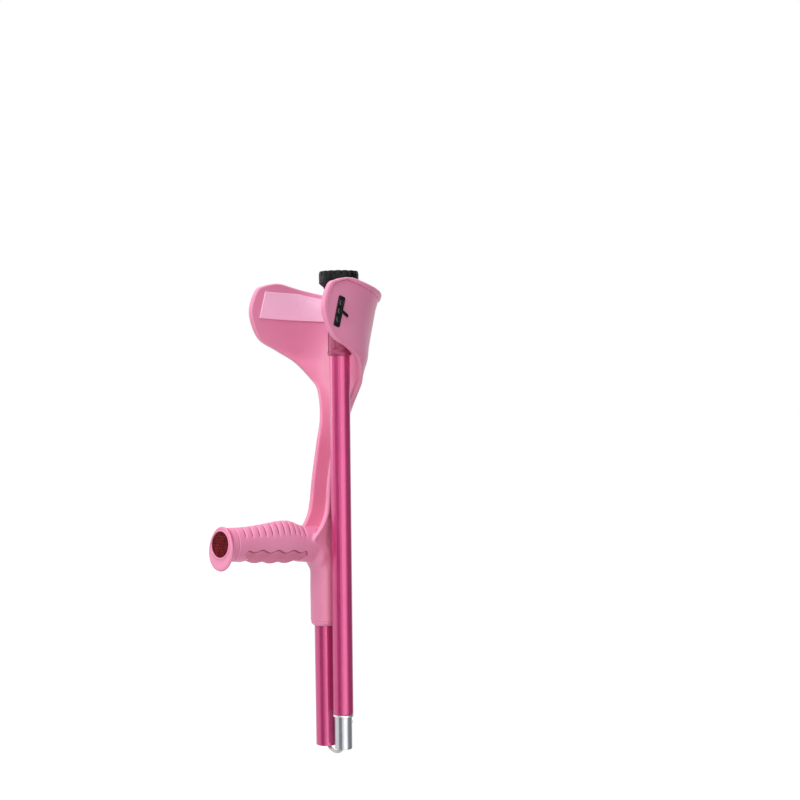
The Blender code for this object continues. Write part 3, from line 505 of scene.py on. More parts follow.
reflectorFinish = {"low": srgb("360008"), "high": srgb("780C18"), "cellScale": 210.0, "roughness": (0.22, 0.34),
                   "bump": 0.02, "bumpDepth": 0.0003, "specular": 0.04, "coat": 0.03, "coatRoughness": 0.08}

mouldedPink = mouldedMaterial("mouldedPink", mouldedFinish)
padPink = mouldedMaterial("padPink", padFinish)
# The collar's material carries painted shade in its darker colour.
collarPinkPaintedShade = mouldedMaterial("collarPinkPaintedShade", collarPaintedShadeFinish)
stripPink = mouldedMaterial("stripPink", stripFinish)
blackPlastic = mouldedMaterial("blackPlastic", blackFinish)
blackRubber = mouldedMaterial("blackRubber", rubberFinish)
tubePink = metalMaterial("tubePink", tubeFinish)
spigotChrome = metalMaterial("spigotChrome", chromeFinish)
ringSilver = metalMaterial("ringSilver", ringFinish)
springSteel = metalMaterial("springSteel", steelFinish)
cordWhite = fibreMaterial("cordWhite", cordFinish, braidWeave)
knotWhite = fibreMaterial("knotWhite", knotFinish, knotWeave)
reflectorRed = reflectorMaterial("reflectorRed", reflectorFinish)
print("materials made")


# Cuff, spine, sleeve and grip: one moulding

# Stations from the sleeve up: rim x, rim z, half width, back x, back z, front bulge, cupping.
# Bulge is 1 on the round sleeve and 0 in the hollow of the spine and cuff. All from the tube's lower end.
moulding = {
    "stations": [
        (0.0000, 0.1300, 0.0114, 0.0114, 0.1300, 1.00, 1.00),
        (0.0000, 0.1308, 0.0131, 0.0131, 0.1308, 1.00, 1.00),
        (0.0000, 0.1328, 0.0144, 0.0144, 0.1328, 1.00, 1.00),
        (0.0000, 0.1356, 0.0149, 0.0149, 0.1356, 1.00, 1.00),
        (0.0000, 0.1390, 0.0150, 0.0150, 0.1390, 1.00, 1.00),
        (0.0000, 0.1650, 0.0150, 0.0150, 0.1650, 1.00, 1.00),
        (-0.0010, 0.2060, 0.0150, 0.0152, 0.2060, 1.00, 1.00),
        (-0.0200, 0.2185, 0.0147, 0.0154, 0.2165, 0.80, 1.00),
        (-0.0290, 0.2245, 0.0147, 0.0156, 0.2245, 0.40, 1.00),
        (-0.0245, 0.2305, 0.0148, 0.0158, 0.2320, 0.16, 1.00),
        (-0.0165, 0.2385, 0.0148, 0.0162, 0.2400, 0.06, 1.00),
        (-0.0098, 0.2500, 0.0146, 0.0169, 0.2500, 0.02, 0.98),
        (-0.0050, 0.2640, 0.0142, 0.0184, 0.2630, 0.00, 0.94),
        (-0.0015, 0.2890, 0.0139, 0.0215, 0.2870, 0.00, 0.80),
        (0.0065, 0.3250, 0.0146, 0.0290, 0.3210, 0.00, 0.45),
        (0.0175, 0.3560, 0.0190, 0.0355, 0.3490, 0.00, 0.20),
        (0.0245, 0.3850, 0.0300, 0.0405, 0.3710, 0.00, 0.15),
        (0.0215, 0.3990, 0.0398, 0.0415, 0.3850, 0.00, 0.25),
        (0.0080, 0.4170, 0.0505, 0.0440, 0.4000, 0.00, 0.50),
        (-0.0120, 0.4295, 0.0575, 0.0480, 0.4150, 0.00, 0.80),
        (-0.0380, 0.4435, 0.0590, 0.0535, 0.4310, 0.00, 1.00),
        (-0.0500, 0.4710, 0.0588, 0.0620, 0.4500, 0.00, 1.00),
        (-0.0415, 0.4950, 0.0585, 0.0670, 0.4680, 0.00, 1.00),
        (-0.0290, 0.5012, 0.0583, 0.0690, 0.4755, 0.00, 1.00),
        (-0.0150, 0.5038, 0.0580, 0.0714, 0.4840, 0.00, 1.00),
    ],
    "stepsBetween": 7,
    "wall": 0.0042,
    "wallShare": 0.33,          # of the half width, which the wall stays under
    "sleeveRadius": 0.015,
    "cupFullness": 0.72,
    "frontTurn": 82,            # degrees: the sleeve's front ends short of its widest points
    "rimDrawIn": 0.0012,        # the rim's rounding starts this far before the stations' rim
    "beadHeight": 0.0016,       # raised rim round the cuff
    "beadWidth": 0.0050,
    "beadEdge": 0.0009,         # how sharply the bead drops to the wall
    "beadCrease": 0.0007,       # depth of the line along the bead's foot
    "backSteps": 40,
    "rimSteps": 15,
    "tipSteps": 7,
    "crownSteps": 7,
    "topSteps": 26,             # rows of the last span, most of them close to the top edge
    "crownReach": 0.014,        # the crown's lift grows from nothing at a rim to its full height over this
    "sleeveGroove": (0.1349, 0.0006, 0.0005),       # height, depth and half width of the ring line
    "wingWidth": 0.045,         # sections with a wider half than this belong to the wings
    "boreRadius": 0.0113,
    "boreFoot": 0.1260,
    "boreTop": 0.2343,
    "plug": (0.2030, 0.2372, 0.0127),       # from, to and radius: closes the moulding round the tube's end
    "sharp": 38,
}


def sampleStations(m):
    # A Catmull-Rom curve through the stations, a few steps between each pair.
    keys = np.array(m["stations"])
    padded = np.vstack([2 * keys[0] - keys[1], keys, 2 * keys[-1] - keys[-2]])
    a, b, c, d = (padded[i:len(padded) - 3 + i, None, :] for i in range(4))

    def spans(a, b, c, d, t):
        return 0.5 * (2 * b + (c - a) * t + (2 * a - 5 * b + 4 * c - d) * t**2 + (3 * b - a - 3 * c + d) * t**3)

    even = (np.arange(m["stepsBetween"]) / m["stepsBetween"])[None, :, None]
    late = 1 - (1 - np.arange(m["topSteps"]) / m["topSteps"])[:, None] ** 1.7
    curve = spans(a[:-1], b[:-1], c[:-1], d[:-1], even)
    return np.vstack([curve.reshape(-1, keys.shape[1]), spans(a[-1], b[-1], c[-1], d[-1], late), keys[-1]])


def wallArc(rows, share, m):
    # Outer wall of each section in its own plane. Share 0 is the middle of the back and 1 is a rim: a round
    # cup, fuller where it is wide, mixed with a flatter bow.
    rimX, halfWidth, backX, cupping = rows[:, 0:1], rows[:, 2:3], rows[:, 3:4], rows[:, 6:7]
    fullness = 1 + (m["cupFullness"] - 1) * np.clip((halfWidth - m["sleeveRadius"]) / 0.03, 0, 1)
    deep = np.clip(np.cos(share * np.pi / 2), 0, None) ** fullness
    cup = np.stack([rimX + (backX - rimX) * deep, halfWidth * np.sin(share * np.pi / 2)], axis=-1)
    flat = np.stack([rimX + (backX - rimX) * (1 - share**2), halfWidth * share], axis=-1)
    return cup * cupping[..., None] + flat * (1 - cupping[..., None])


def wallInward(rows, share, m, step=0.004):
    # Unit arrows from the outer wall to the inner one: the wall's direction turned by a right angle.
    along = unit(wallArc(rows, np.minimum(1, share + step), m) - wallArc(rows, np.maximum(0, share - step), m))
    return np.stack([-along[..., 1], along[..., 0]], axis=-1)


def liftSection(rows, flat):
    # From a section's plane into space: each plane slants from back to rim.
    rimX, rimZ, backX, backZ = (rows[:, i:i + 1] for i in (0, 1, 3, 4))
    z = backZ + (rimZ - backZ) * (backX - flat[..., 0]) / (backX - rimX)
    return np.concatenate([flat, z[..., None]], axis=-1)


def wallShares(rows, m):
    # Shares from the back's middle to the rim, evenly spaced by length and closer near the rim, with each
    # point's distance from the rim.
    dense = 1 - (1 - np.linspace(0, 1, 500)) ** 2
    steps = np.linalg.norm(np.diff(wallArc(rows, dense[None, :], m), axis=1), axis=-1)
    reach = np.concatenate([np.zeros((len(rows), 1)), np.cumsum(steps, axis=1)], axis=1)
    last = reach[:, -1:] - m["rimDrawIn"] * (1 - rows[:, 5:6])
    zone = m["beadWidth"] + 3 * m["beadEdge"]
    back = (last - zone) * np.linspace(0, 1, m["backSteps"], endpoint=False)
    rim = last - zone * (1 - np.linspace(0, 1, m["rimSteps"]))
    length = np.concatenate([back, rim], axis=1)
    return np.stack([np.interp(want, have, dense) for want, have in zip(length, reach)]), reach[:, -1:] - length


def mouldingGrid(m):
    # Rings up the moulding: outer wall with its bead, the rim's half round, and the inner wall or round front.
    rows = sampleStations(m)
    share, fromRim = wallShares(rows, m)
    outer, inward = wallArc(rows, share, m), wallInward(rows, share, m)
    inward[:, 0] = (-1, 0)
    hollowed = 1 - rows[:, 5:6]
    stepUp = np.linalg.norm(np.diff(liftSection(rows, outer), axis=0), axis=-1)
    fromTop = np.concatenate([np.cumsum(stepUp[::-1], axis=0)[::-1], np.zeros((1, stepUp.shape[1]))])
    edge = np.minimum(fromRim, fromTop)
    bead = m["beadHeight"] * (1 - ease(m["beadWidth"] - m["beadEdge"], m["beadWidth"], edge))
    crease = m["beadCrease"] * np.exp(-((edge - m["beadWidth"]) / (0.6 * m["beadEdge"])) ** 2)
    skin = outer - inward * ((bead - crease) * hollowed)[..., None]
    wall = np.minimum(m["wall"], rows[:, 2:3] * m["wallShare"])[..., None]
    turn = share * math.radians(m["frontTurn"])
    front = np.stack([rows[:, 0:1] - rows[:, 2:3] * np.cos(turn), rows[:, 2:3] * np.sin(turn)], axis=-1)
    hollow = (outer + inward * wall) * hollowed[..., None] + front * (1 - hollowed[..., None])
    height, depth, width = m["sleeveGroove"]
    line = 1 - depth / m["sleeveRadius"] * np.exp(-((rows[:, 1] - height) / width) ** 2)[:, None, None]
    skin, hollow = skin * line, hollow * line
    middle, arm = (skin[:, -1] + hollow[:, -1]) / 2, (skin[:, -1] - hollow[:, -1]) / 2
    ahead = unit(skin[:, -1] - skin[:, -3] + hollow[:, -1] - hollow[:, -3])
    ahead = ahead * np.linalg.norm(arm, axis=-1, keepdims=True) * hollowed
    angle = (np.pi * np.arange(1, m["tipSteps"] + 1) / (m["tipSteps"] + 1))[None, :, None]
    tip = middle[:, None] + arm[:, None] * np.cos(angle) + ahead[:, None] * np.sin(angle)
    mirror = np.array([1, -1])
    ring = [skin[:, :0:-1] * mirror, skin, tip, hollow[:, ::-1], hollow[:, 1:] * mirror, tip[:, ::-1] * mirror]
    return liftSection(rows, np.concatenate(ring, axis=1))


def crownGrid(ring, m):
    # The top edge rounded over: each point moves to the middle of the wall as it rises on a half circle.
    count, tips = len(ring), m["tipSteps"]
    wide = (count - 2 * tips) // 2
    index = np.arange(count)
    walls, tip = index[:wide], index[wide:wide + tips]
    far = wide + tips
    opposite = np.concatenate([far + walls[::-1], tip[::-1], walls[::-1], far + tip[::-1]])
    across = ring[opposite]
    angle = (np.pi / 2 * np.arange(1, m["crownSteps"] + 1) / m["crownSteps"])[:, None, None]
    lift = np.linalg.norm(across - ring, axis=-1, keepdims=True) / 2 * unit(np.array([0.2, 0, 1.0]))
    rims = [ring[k + tips // 2] for k in (wide, wide + far)]
    reach = np.min([np.linalg.norm(ring - rim, axis=-1) for rim in rims], axis=0)
    lift = lift * ease(-0.002, m["crownReach"], reach)[:, None]
    share = (1 - np.cos(angle)) / 2
    return ring * (1 - share) + across * share + lift * np.sin(angle)


# The hand grip, in its own axes: s along it from the tube's axis, and an angle round it from the top
grip = {
    "rootHeight": 0.216,
    "tilt": 5.5,                # degrees
    "length": 0.139,
    "stops": (0.0, 0.014, 0.028, 0.040, 0.053, 0.067, 0.079, 0.091, 0.106, 0.122, 0.139),
    "above": (0.0190, 0.0200, 0.0212, 0.0227, 0.0262, 0.0260, 0.0240, 0.0220, 0.0197, 0.0181, 0.0172),
    "below": (0.0230, 0.0195, 0.0178, 0.0176, 0.0184, 0.0190, 0.0190, 0.0189, 0.0184, 0.0178, 0.0165),
    "wide": (0.0128, 0.0137, 0.0146, 0.0152, 0.0156, 0.0157, 0.0156, 0.0153, 0.0149, 0.0144, 0.0136),
    "sides": 96,
    "rows": ((0, 0.030, 20), (0.030, 0.134, 260)), "endRows": 12,     # from, to and count: closest at the ribs
    "fillet": 0.0070,           # radius where the grip's underside runs into the sleeve
    "filletStart": 0.0150,
    "grooves": 11,
    "firstGroove": 0.0364,
    "groovePitch": 0.0072,
    "pitchGrowth": 0.000115,    # the grooves spread apart towards the free end
    "grooveDepth": 0.0017,
    "grooveWidth": 0.00060,
    "ribHeight": 0.0006,        # how much each rib swells between its grooves
    "ribWidth": 0.0042,
    "grooveLean": 0.0022,
    "grooveEnd": 66, "grooveFade": 9,       # degrees from the top
    "grooveRunIn": 0.004,       # length over which the ribs start and end
    # Painted shade down the grooves: the next lines give its half width, the grip's half sizes, its reach round, its
    # dark colour and its strength.
    "lineEdge": (0.035, 0.115),             # half width of a groove's dark line, in pitches
    "lineHalves": (0.0150, 0.0235), "lineReach": 0.045,         # the grip's half sizes, and how far round lines run
    "grooveShadeColour": srgb("8E3454"), "grooveShadeAmount": 0.85,
    "seam": (0.1310, 0.0012, 0.0005),       # place, depth and half width of the line before the end cap
    "padStart": 0.0350, "padEnd": 0.121, "padAngle": 70, "padWave": 0.07, "padBluntness": 0.05,
    "padEndWidth": 0.70, "padSlant": (0.011, -0.012),        # the ends slope back underneath
    "padRadius": 0.018, "padRounding": 0.0012, "padReach": 0.089, "padLeast": 0.06,       # least half angle
    "padSteps": 72, "padColumns": 33, "padSlantShare": 0.25, "padWiden": 2.5,       # of its half angle, by a margin
    "padHeights": (-0.0026, 0.0003), "padCrown": 0.0007,        # of its floor and top over the grip's skin
    "pocketHeights": (-0.0032, 0.004), "pocketMargin": 0.0004,
    "scallops": 4, "scallopDepth": 0.0017,
}


def gripAxes(g):
    # The grip's origin and its three unit axes: along it, up square to it, and across.
    tilt = math.radians(g["tilt"])
    along = np.array([-math.cos(tilt), 0, math.sin(tilt)])
    rise = np.array([math.sin(tilt), 0, math.cos(tilt)])
    return np.array([0, 0, g["rootHeight"]]), along, rise, np.array([0.0, 1.0, 0.0])


def gripPoints(ahead, high, side, g):
    # From the grip's own axes into space: along it, up square to it, and sideways.
    start, along, rise, across = gripAxes(g)
    return start + ahead[..., None] * along + (high[..., None] * rise + side[..., None] * across)


def gripSkin(s, angle, g, out=0.0):
    # The grip's skin: half an ellipse above and half below, both from curves along s, with finger scallops
    # underneath and a fillet towards the sleeve.
    above, below, wide = (smoothCurve(s, g["stops"], g[part]) for part in ("above", "below", "wide"))
    short = np.clip(g["filletStart"] + g["fillet"] - s, 0, g["fillet"])
    flare = g["fillet"] - np.sqrt(g["fillet"] ** 2 - short**2)
    down = np.clip(-np.cos(angle), 0, None)
    high, side = np.cos(angle) * np.where(np.cos(angle) > 0, above, below), np.sin(angle) * wide
    length = np.hypot(high, side)
    place = np.clip((s - g["padStart"]) / (g["padEnd"] - g["padStart"]), 0, 1)
    wave = 0.5 - 0.5 * np.cos(tau * place * g["scallops"])
    reach = (length + flare * down + out - g["scallopDepth"] * wave * down**2) / length
    return gripPoints(s, high * reach, side * reach, g)


def gripRelief(s, angle, g):
    # Height of the ribs and grooves on the grip's top, and of the seam before the end cap.
    fade = 1 - ease(math.radians(g["grooveEnd"] - g["grooveFade"]), math.radians(g["grooveEnd"]), np.abs(angle))
    at = s - g["grooveLean"] * np.abs(np.sin(angle))
    k = np.arange(g["grooves"])
    lines = g["firstGroove"] + g["groovePitch"] * k + g["pitchGrowth"] * k**2
    gap = np.min(np.abs(at[..., None] - lines), axis=-1)
    depth = -g["grooveDepth"] * np.exp(-(gap / g["grooveWidth"]) ** 2)
    first, last, run = lines[0], lines[-1], g["grooveRunIn"]
    inside = ease(first - run, first, at) * (1 - ease(last, last + run, at))
    swell = g["ribHeight"] * np.clip(np.sin(np.pi * np.clip(gap / g["ribWidth"], 0, 1) / 2), 0, 1)
    place, deep, width = g["seam"]
    seam = -deep * np.exp(-((s - place) / width) ** 2)
    return (depth + (swell - g["ribHeight"]) * inside) * fade + seam


def makeHandle(g):
    # The grip's skin with its relief, in rows along it.
    stops = np.concatenate([*(np.linspace(*span, endpoint=False) for span in g["rows"]),
                            np.linspace(g["rows"][-1][1], g["length"], g["endRows"])])
    s, angle = np.meshgrid(stops, around(g["sides"]) - np.pi, indexing="ij")
    return gridPiece("handle", gripSkin(s, angle, g, gripRelief(s, angle, g)), fromTube)


def padEdge(place, g):
    # Half angle of the finger pad along its length: a wavy edge with rounded ends.
    ends = np.sqrt(np.clip(place / g["padBluntness"], 0, 1) * np.clip((1 - place) / g["padBluntness"], 0, 1))
    ends = g["padEndWidth"] + (1 - g["padEndWidth"]) * ends
    wave = g["padWave"] * np.cos(tau * place * g["scallops"])
    return math.radians(g["padAngle"]) * (1 + wave) * ends


def padPiece(name, g, margin, low, high, crowned):
    # The pad's closed body: its skin over its floor, both from edge to edge. A margin widens it all round.
    t = (1 - np.cos(np.pi * np.arange(g["padSteps"] + 1) / g["padSteps"])) / 2
    half = np.maximum(padEdge(t, g), g["padLeast"]) + g["padWiden"] * margin / g["padRadius"]
    s = g["padStart"] + (g["padEnd"] - g["padStart"]) * t + margin * (2 * t - 1)
    j = np.linspace(-1, 1, g["padColumns"])
    angle = np.pi + half[:, None] * j[None, :]
    share, (first, last) = g["padSlantShare"], g["padSlant"]
    near = np.clip(1 - t / share, 0, 1) * first + np.clip((t - (1 - share)) / share, 0, 1) * last
    place = s[:, None] + near[:, None] * (1 - j**2)[None, :]
    fromSide = (1 - np.abs(j))[None, :] * half[:, None] * g["padRadius"]
    fromEnd = (np.minimum(t, 1 - t) * g["padReach"])[:, None]
    edge = np.minimum(1, np.minimum(fromSide, fromEnd) / g["padRounding"])
    skin = gripSkin(place, angle, g, high - (crowned * (1 - np.sqrt(np.clip(1 - (1 - edge) ** 2, 0, 1)))))
    floor = gripSkin(place, angle, g, np.full_like(angle, low))
    return gridPiece(name, np.concatenate([skin, floor[:, ::-1]], axis=1), fromTube, sharp=None if crowned else 30)


# The strap slot's black insert on the near wing
slotInsert = {
    "place": (-0.0275, 0.468), "length": 0.033, "width": 0.009, "lean": 17, "corner": 0.0022,
    "tabLength": 0.0090, "tabHalf": 0.0015, "tabMiddle": 0.0014, "tabDrop": 0.0024,
    "depth": 0.0016, "proud": 0.0011, "gap": 0.0003, "bevel": 0.0005,
    "pocketTop": 0.006, "tabCorners": (0.0008, 0.0012),         # radii at its root and its end
    "knobPitch": 0.0092, "knobSize": (0.0029, 0.0011, 0.0033), "knobSides": 28, "knobRows": 15,
}


def slotOutline(c, margin):
    # A bar with a short tab on one long side, corners rounded, turned by its lean.
    half, width = c["length"] / 2 + margin, c["width"] / 2 + margin
    low, high = c["tabMiddle"] - c["tabHalf"] - margin, c["tabMiddle"] + c["tabHalf"] + margin
    end = c["width"] / 2 + c["tabLength"] + margin
    corners = [(width, -half), (width, low), (end, low - c["tabDrop"]), (end, high - c["tabDrop"]), (width, high),
               (width, half), (-width, half), (-width, -half)]
    r, (root, tip) = c["corner"], c["tabCorners"]
    line = roundedLine(corners, [r, root, tip, tip, root, r, r, r], 5)
    lean = -math.radians(c["lean"])
    return line @ np.array([[math.cos(lean), math.sin(lean)], [-math.sin(lean), math.cos(lean)]])


def outerWallY(x, z, m):
    # How far the near wing's outer wall stands from the middle plane, at a place on it.
    rows = sampleStations(m)
    rows = rows[rows[:, 2] > m["wingWidth"]]
    wall = liftSection(rows, wallArc(rows, np.linspace(0.4, 0.96, 120)[None, :], m)).reshape(-1, 3)
    return -wall[np.argmin(np.hypot(wall[:, 0] - x, wall[:, 2] - z)), 1]


def slotPrism(name, c, margin, inner, outer, m):
    # The insert's outline carried straight through the wall, from inner to outer.
    line = slotOutline(c, margin)
    x, z = c["place"]
    wall = outerWallY(x, z, m)
    rings = [np.column_stack([x + line[:, 0], np.full(len(line), wall + y), z + line[:, 1]]) for y in (inner, -outer)]
    return gridPiece(name, np.stack(rings), fromTube, sharp=30)


def uprightBar(low, high, radius):
    # A round bar on the tube's axis.
    return roundBars([fromTube(np.array([0, 0, low]))], [fromTube(np.array([0, 0, high]))], radius, 64)


def makeMoulding(m, g, c):
    # The rings and crown joined with the grip and a plug, then cut by the bore and both pockets.
    ring = mouldingGrid(m)
    grid = np.concatenate([ring, crownGrid(ring[-1], m)])
    body = gridPiece("cuffMoulding", grid, fromTube, caps=(True, False), merge=2e-5)
    shapeBy(body, ("UNION", makeHandle(g)), ("UNION", uprightBar(*m["plug"])))
    softenRoot(body, rootBlend)
    shapeBy(body, ("DIFFERENCE", uprightBar(m["boreFoot"], m["boreTop"], m["boreRadius"])),
            ("DIFFERENCE", padPiece("padPocket", g, g["pocketMargin"], *g["pocketHeights"], 0.0)),
            ("DIFFERENCE", slotPrism("slotPocket", c, c["gap"], c["depth"], c["pocketTop"], m)))
    smoothShade(body.data, m["sharp"])
    return body


rootBlend = {"reach": 0.0050, "rounds": 20, "strength": 0.6, "sharp": 20, "margin": 0.020,
             "from": (-0.040, 0.190), "to": (-0.006, 0.256)}        # x and z of the root's region


def softenRoot(body, r):
    # Rounds off the line where the grip meets the spine and sleeve: each point near it is drawn, again and
    # again, towards the mean of its neighbours, more strongly the nearer it is.
    mesh = body.data
    place = np.empty(3 * len(mesh.vertices))
    mesh.vertices.foreach_get("co", place)
    place = place.reshape(-1, 3) - tubeFoot
    shape = bmesh.new()
    shape.from_mesh(mesh)
    creased = [v.index for edge in shape.edges if len(edge.link_faces) == 2
               and edge.calc_face_angle(0) > math.radians(r["sharp"]) for v in edge.verts]
    pairs = np.array([[v.index for v in edge.verts] for edge in shape.edges])
    shape.free()
    low, high, flat = np.array(r["from"]), np.array(r["to"]), place[:, [0, 2]]
    seam = np.unique(creased)
    seam = seam[np.all((flat[seam] > low) & (flat[seam] < high), axis=1)]
    inside = (flat > low - r["margin"]) & (flat < high + (r["margin"] / 2, r["margin"]))
    near = np.flatnonzero(np.all(inside, axis=1))
    gap = np.min(np.linalg.norm(place[near, None] - place[seam][None], axis=-1), axis=1)
    weight = np.zeros((len(place), 1))
    weight[near, 0] = np.clip(1 - gap / r["reach"], 0, 1) ** 2 * r["strength"]
    count = np.maximum(np.bincount(pairs.ravel(), minlength=len(place)), 1)[:, None]
    for _ in range(r["rounds"]):
        total = np.zeros_like(place)
        np.add.at(total, pairs[:, 0], place[pairs[:, 1]])
        np.add.at(total, pairs[:, 1], place[pairs[:, 0]])
        place += (total / count - place) * weight
    mesh.vertices.foreach_set("co", (place + tubeFoot).ravel())
    mesh.update()


def makeGrooveShadeGroup(g):
    # A mask of painted shade: fine lines down the grip's grooves, from the same formula as the relief: k counts the
    # grooves.
    group, given, out = newGroup("paintedGrooveShade", ("Line",))
    start, along, rise, across = gripAxes(g)
    offset = newNode(group, "VectorMath", {0: given["Vector"], 1: tuple(start + tubeFoot)}, operation="SUBTRACT")

    def part(axis):
        dot = newNode(group, "VectorMath", {0: offset.outputs[0], 1: tuple(axis)}, operation="DOT_PRODUCT")
        return dot.outputs["Value"]

    def calc(operation, a, b=0.0):
        return maths(group, operation, a, b)

    def below(value, low, high):
        return calc("SUBTRACT", 1.0, spread(group, value, 0, 1, low, high, "SMOOTHSTEP"))

    high, side = part(rise), calc("ABSOLUTE", part(across))
    halfWide, halfHigh = g["lineHalves"]
    angle = calc("ARCTAN2", calc("DIVIDE", side, halfWide), calc("DIVIDE", high, halfHigh))
    at = calc("SUBTRACT", part(along), calc("MULTIPLY", calc("SINE", angle), g["grooveLean"]))
    pitch, growth, end = g["groovePitch"], g["pitchGrowth"], math.radians(g["grooveEnd"])
    under = calc("ADD", calc("MULTIPLY", calc("SUBTRACT", at, g["firstGroove"]), 4 * growth), pitch**2)
    k = calc("DIVIDE", calc("SUBTRACT", calc("SQRT", calc("MAXIMUM", under)), pitch), 2 * growth)
    line = below(calc("ABSOLUTE", calc("SUBTRACT", k, calc("ROUND", k))), *g["lineEdge"])
    near = calc("LESS_THAN", calc("ADD", calc("ABSOLUTE", high), side), g["lineReach"])
    for mask in (below(k, g["grooves"] - 0.55, g["grooves"] - 0.5), spread(group, k, 0, 1, -0.5, -0.45, "SMOOTHSTEP"),
                 below(angle, end - 0.12, end), near):
        line = calc("MULTIPLY", line, mask)
    setInputs(group, out, {"Line": line})
    return group


def paintGrooveShade(material, g):
    # The material's own colour, mixed with a dark one by the mask of lines: painted shade in the grip's grooves.
    tree = material.node_tree
    shader = tree.nodes["Principled BSDF"]
    place = tree.nodes.new("ShaderNodeTexCoord").outputs["Object"]
    line = newNode(tree, "Group", {"Vector": place}, node_tree=makeGrooveShadeGroup(g)).outputs["Line"]
    plain = shader.inputs["Base Color"].links[0].from_socket
    dark = mixColour(tree, maths(tree, "MULTIPLY", line, g["grooveShadeAmount"]), plain, g["grooveShadeColour"])
    setInputs(tree, shader, {"Base Color": dark})


# Painted shade: dark lines down the grip's grooves, mixed into the moulding's colour.
paintGrooveShade(mouldedPink, grip)
finish(makeMoulding(moulding, grip, slotInsert), mouldedPink, "handle_frame", "cuff_moulding")
pad = padPiece("fingerPad", grip, 0.0, *grip["padHeights"], grip["padCrown"])
finish(pad, padPink, "handle_frame", "finger_pad")
print("moulding and finger pad made")


def makeSlotInsert(c, m):
    # A rounded bar with a short tab and three flat knobs, each a squashed ball, in a row along it.
    body = slotPrism("slotInsert", c, 0.0, c["depth"] - 0.0003, c["proud"], m)
    bevelEdges(body, c["bevel"], 3)
    x, z = c["place"]
    y = outerWallY(x, z, m) - c["proud"] + 0.0002
    lean = math.radians(c["lean"])
    theta, phi = np.meshgrid(around(c["knobSides"]), np.linspace(0, np.pi, c["knobRows"]), indexing="ij")
    ball = np.stack([np.cos(theta) * np.sin(phi), np.cos(phi), np.sin(theta) * np.sin(phi)], axis=-1)
    for k in (-c["knobPitch"], 0, c["knobPitch"]):
        middle = np.array([x + math.sin(lean) * k, y, z + math.cos(lean) * k])
        knob = gridPiece("knob", middle + ball * c["knobSize"], fromTube, closedRows=True, closedColumns=False,
                         caps=(False, False))
        shapeBy(body, ("UNION", knob))
    smoothShade(body.data, 40)
    return body


finish(makeSlotInsert(slotInsert, moulding), blackPlastic, "handle_frame", "slot_insert")

strip = {
    "low": 0.4650, "high": 0.4945, "slope": 0.060, "belowEdge": 0.0024,     # heights at x = 0, and their fall
    "frontLow": -0.0402, "frontHigh": -0.0315,      # x of the slanted front end, at both edges
    "shares": (0.27, 0.992), "thickness": 0.0009, "gap": 0.0002, "edge": 0.0004, "rows": 90, "levels": 18,
}


def makeStrip(p, m):
    # A thin film on the far wing: the inner wall moved in by an even gap, read off at even heights, and
    # along each height from the back to a straight, slanted front end.
    rows = sampleStations(m)
    rows = rows[rows[:, 2] > m["wingWidth"]]
    share = np.linspace(*p["shares"], 160)[None, :]
    outer, inward = wallArc(rows, share, m), wallInward(rows, share, m)
    even = np.linspace(0, 1, p["levels"])

    def readOff(want, have, values):
        # The points at wanted places, column by column, from a grid that has them at other places.
        return np.stack([np.column_stack([np.interp(want[:, k], have[:, k], values[:, k, axis]) for axis in range(3)])
                         for k in range(values.shape[1])])

    def layer(gap):
        wall = liftSection(rows, outer + inward * gap)
        fall = p["slope"] * wall[-1, :, 0]
        low, top = p["low"] - fall, np.minimum(p["high"] - fall, wall[-1, :, 2] - p["belowEdge"])
        level = readOff(low + (top - low) * even[:, None], wall[..., 2], wall)
        front = p["frontLow"] + (p["frontHigh"] - p["frontLow"]) * even
        want = level[0, :, 0] + (front - level[0, :, 0]) * np.linspace(0, 1, p["rows"])[:, None]
        return readOff(want, level[::-1, :, 0], level[::-1]).swapaxes(0, 1)

    base = m["wall"] + p["gap"]
    back, skin = layer(base), layer(base + p["thickness"])
    piece = gridPiece("innerStrip", np.concatenate([back, skin[:, ::-1]], axis=1), fromTube, sharp=30)
    bevelEdges(piece, p["edge"], 2)
    return piece


finish(makeStrip(strip, moulding), stripPink, "handle_frame", "inner_strip")
print("slot insert and strip made")

endCap = {
    "height": 0.046, "width": 0.037, "drop": 0.0044, "thickness": 0.0065, "gap": 0.0003, "egg": 0.10,
    "lensRadius": 0.0133, "sides": 128,
    # Profile from the back's middle round to the pocket's floor: place along the grip from the cap's back,
    # share of the egg outline, and share of the lens's circle, where the rest is the cap's middle
    "profile": (
        (0.0, 0.0, 0.0), (0.0, 0.70, 0.0), (0.0004, 0.725, 0.0), (0.0010, 0.735, 0.0), (0.0018, 0.75, 0.0),
        (0.0024, 0.80, 0.0), (0.0028, 0.88, 0.0), (0.0031, 0.95, 0.0), (0.0036, 0.985, 0.0), (0.0043, 1.0, 0.0),
        (0.0052, 0.992, 0.0), (0.0060, 0.965, 0.0), (0.0064, 0.93, 0.0), (0.0064, 0.88, 0.0), (0.0060, 0.45, 0.57),
        (0.0060, 0.12, 0.95), (0.0064, 0.05, 1.045), (0.0070, 0.03, 1.055), (0.0072, 0.0, 1.055), (0.0071, 0.0, 1.03),
        (0.0066, 0.0, 1.005), (0.0060, 0.0, 1.0), (0.0034, 0.0, 1.0), (0.0034, 0.0, 0.0),
    ),
}


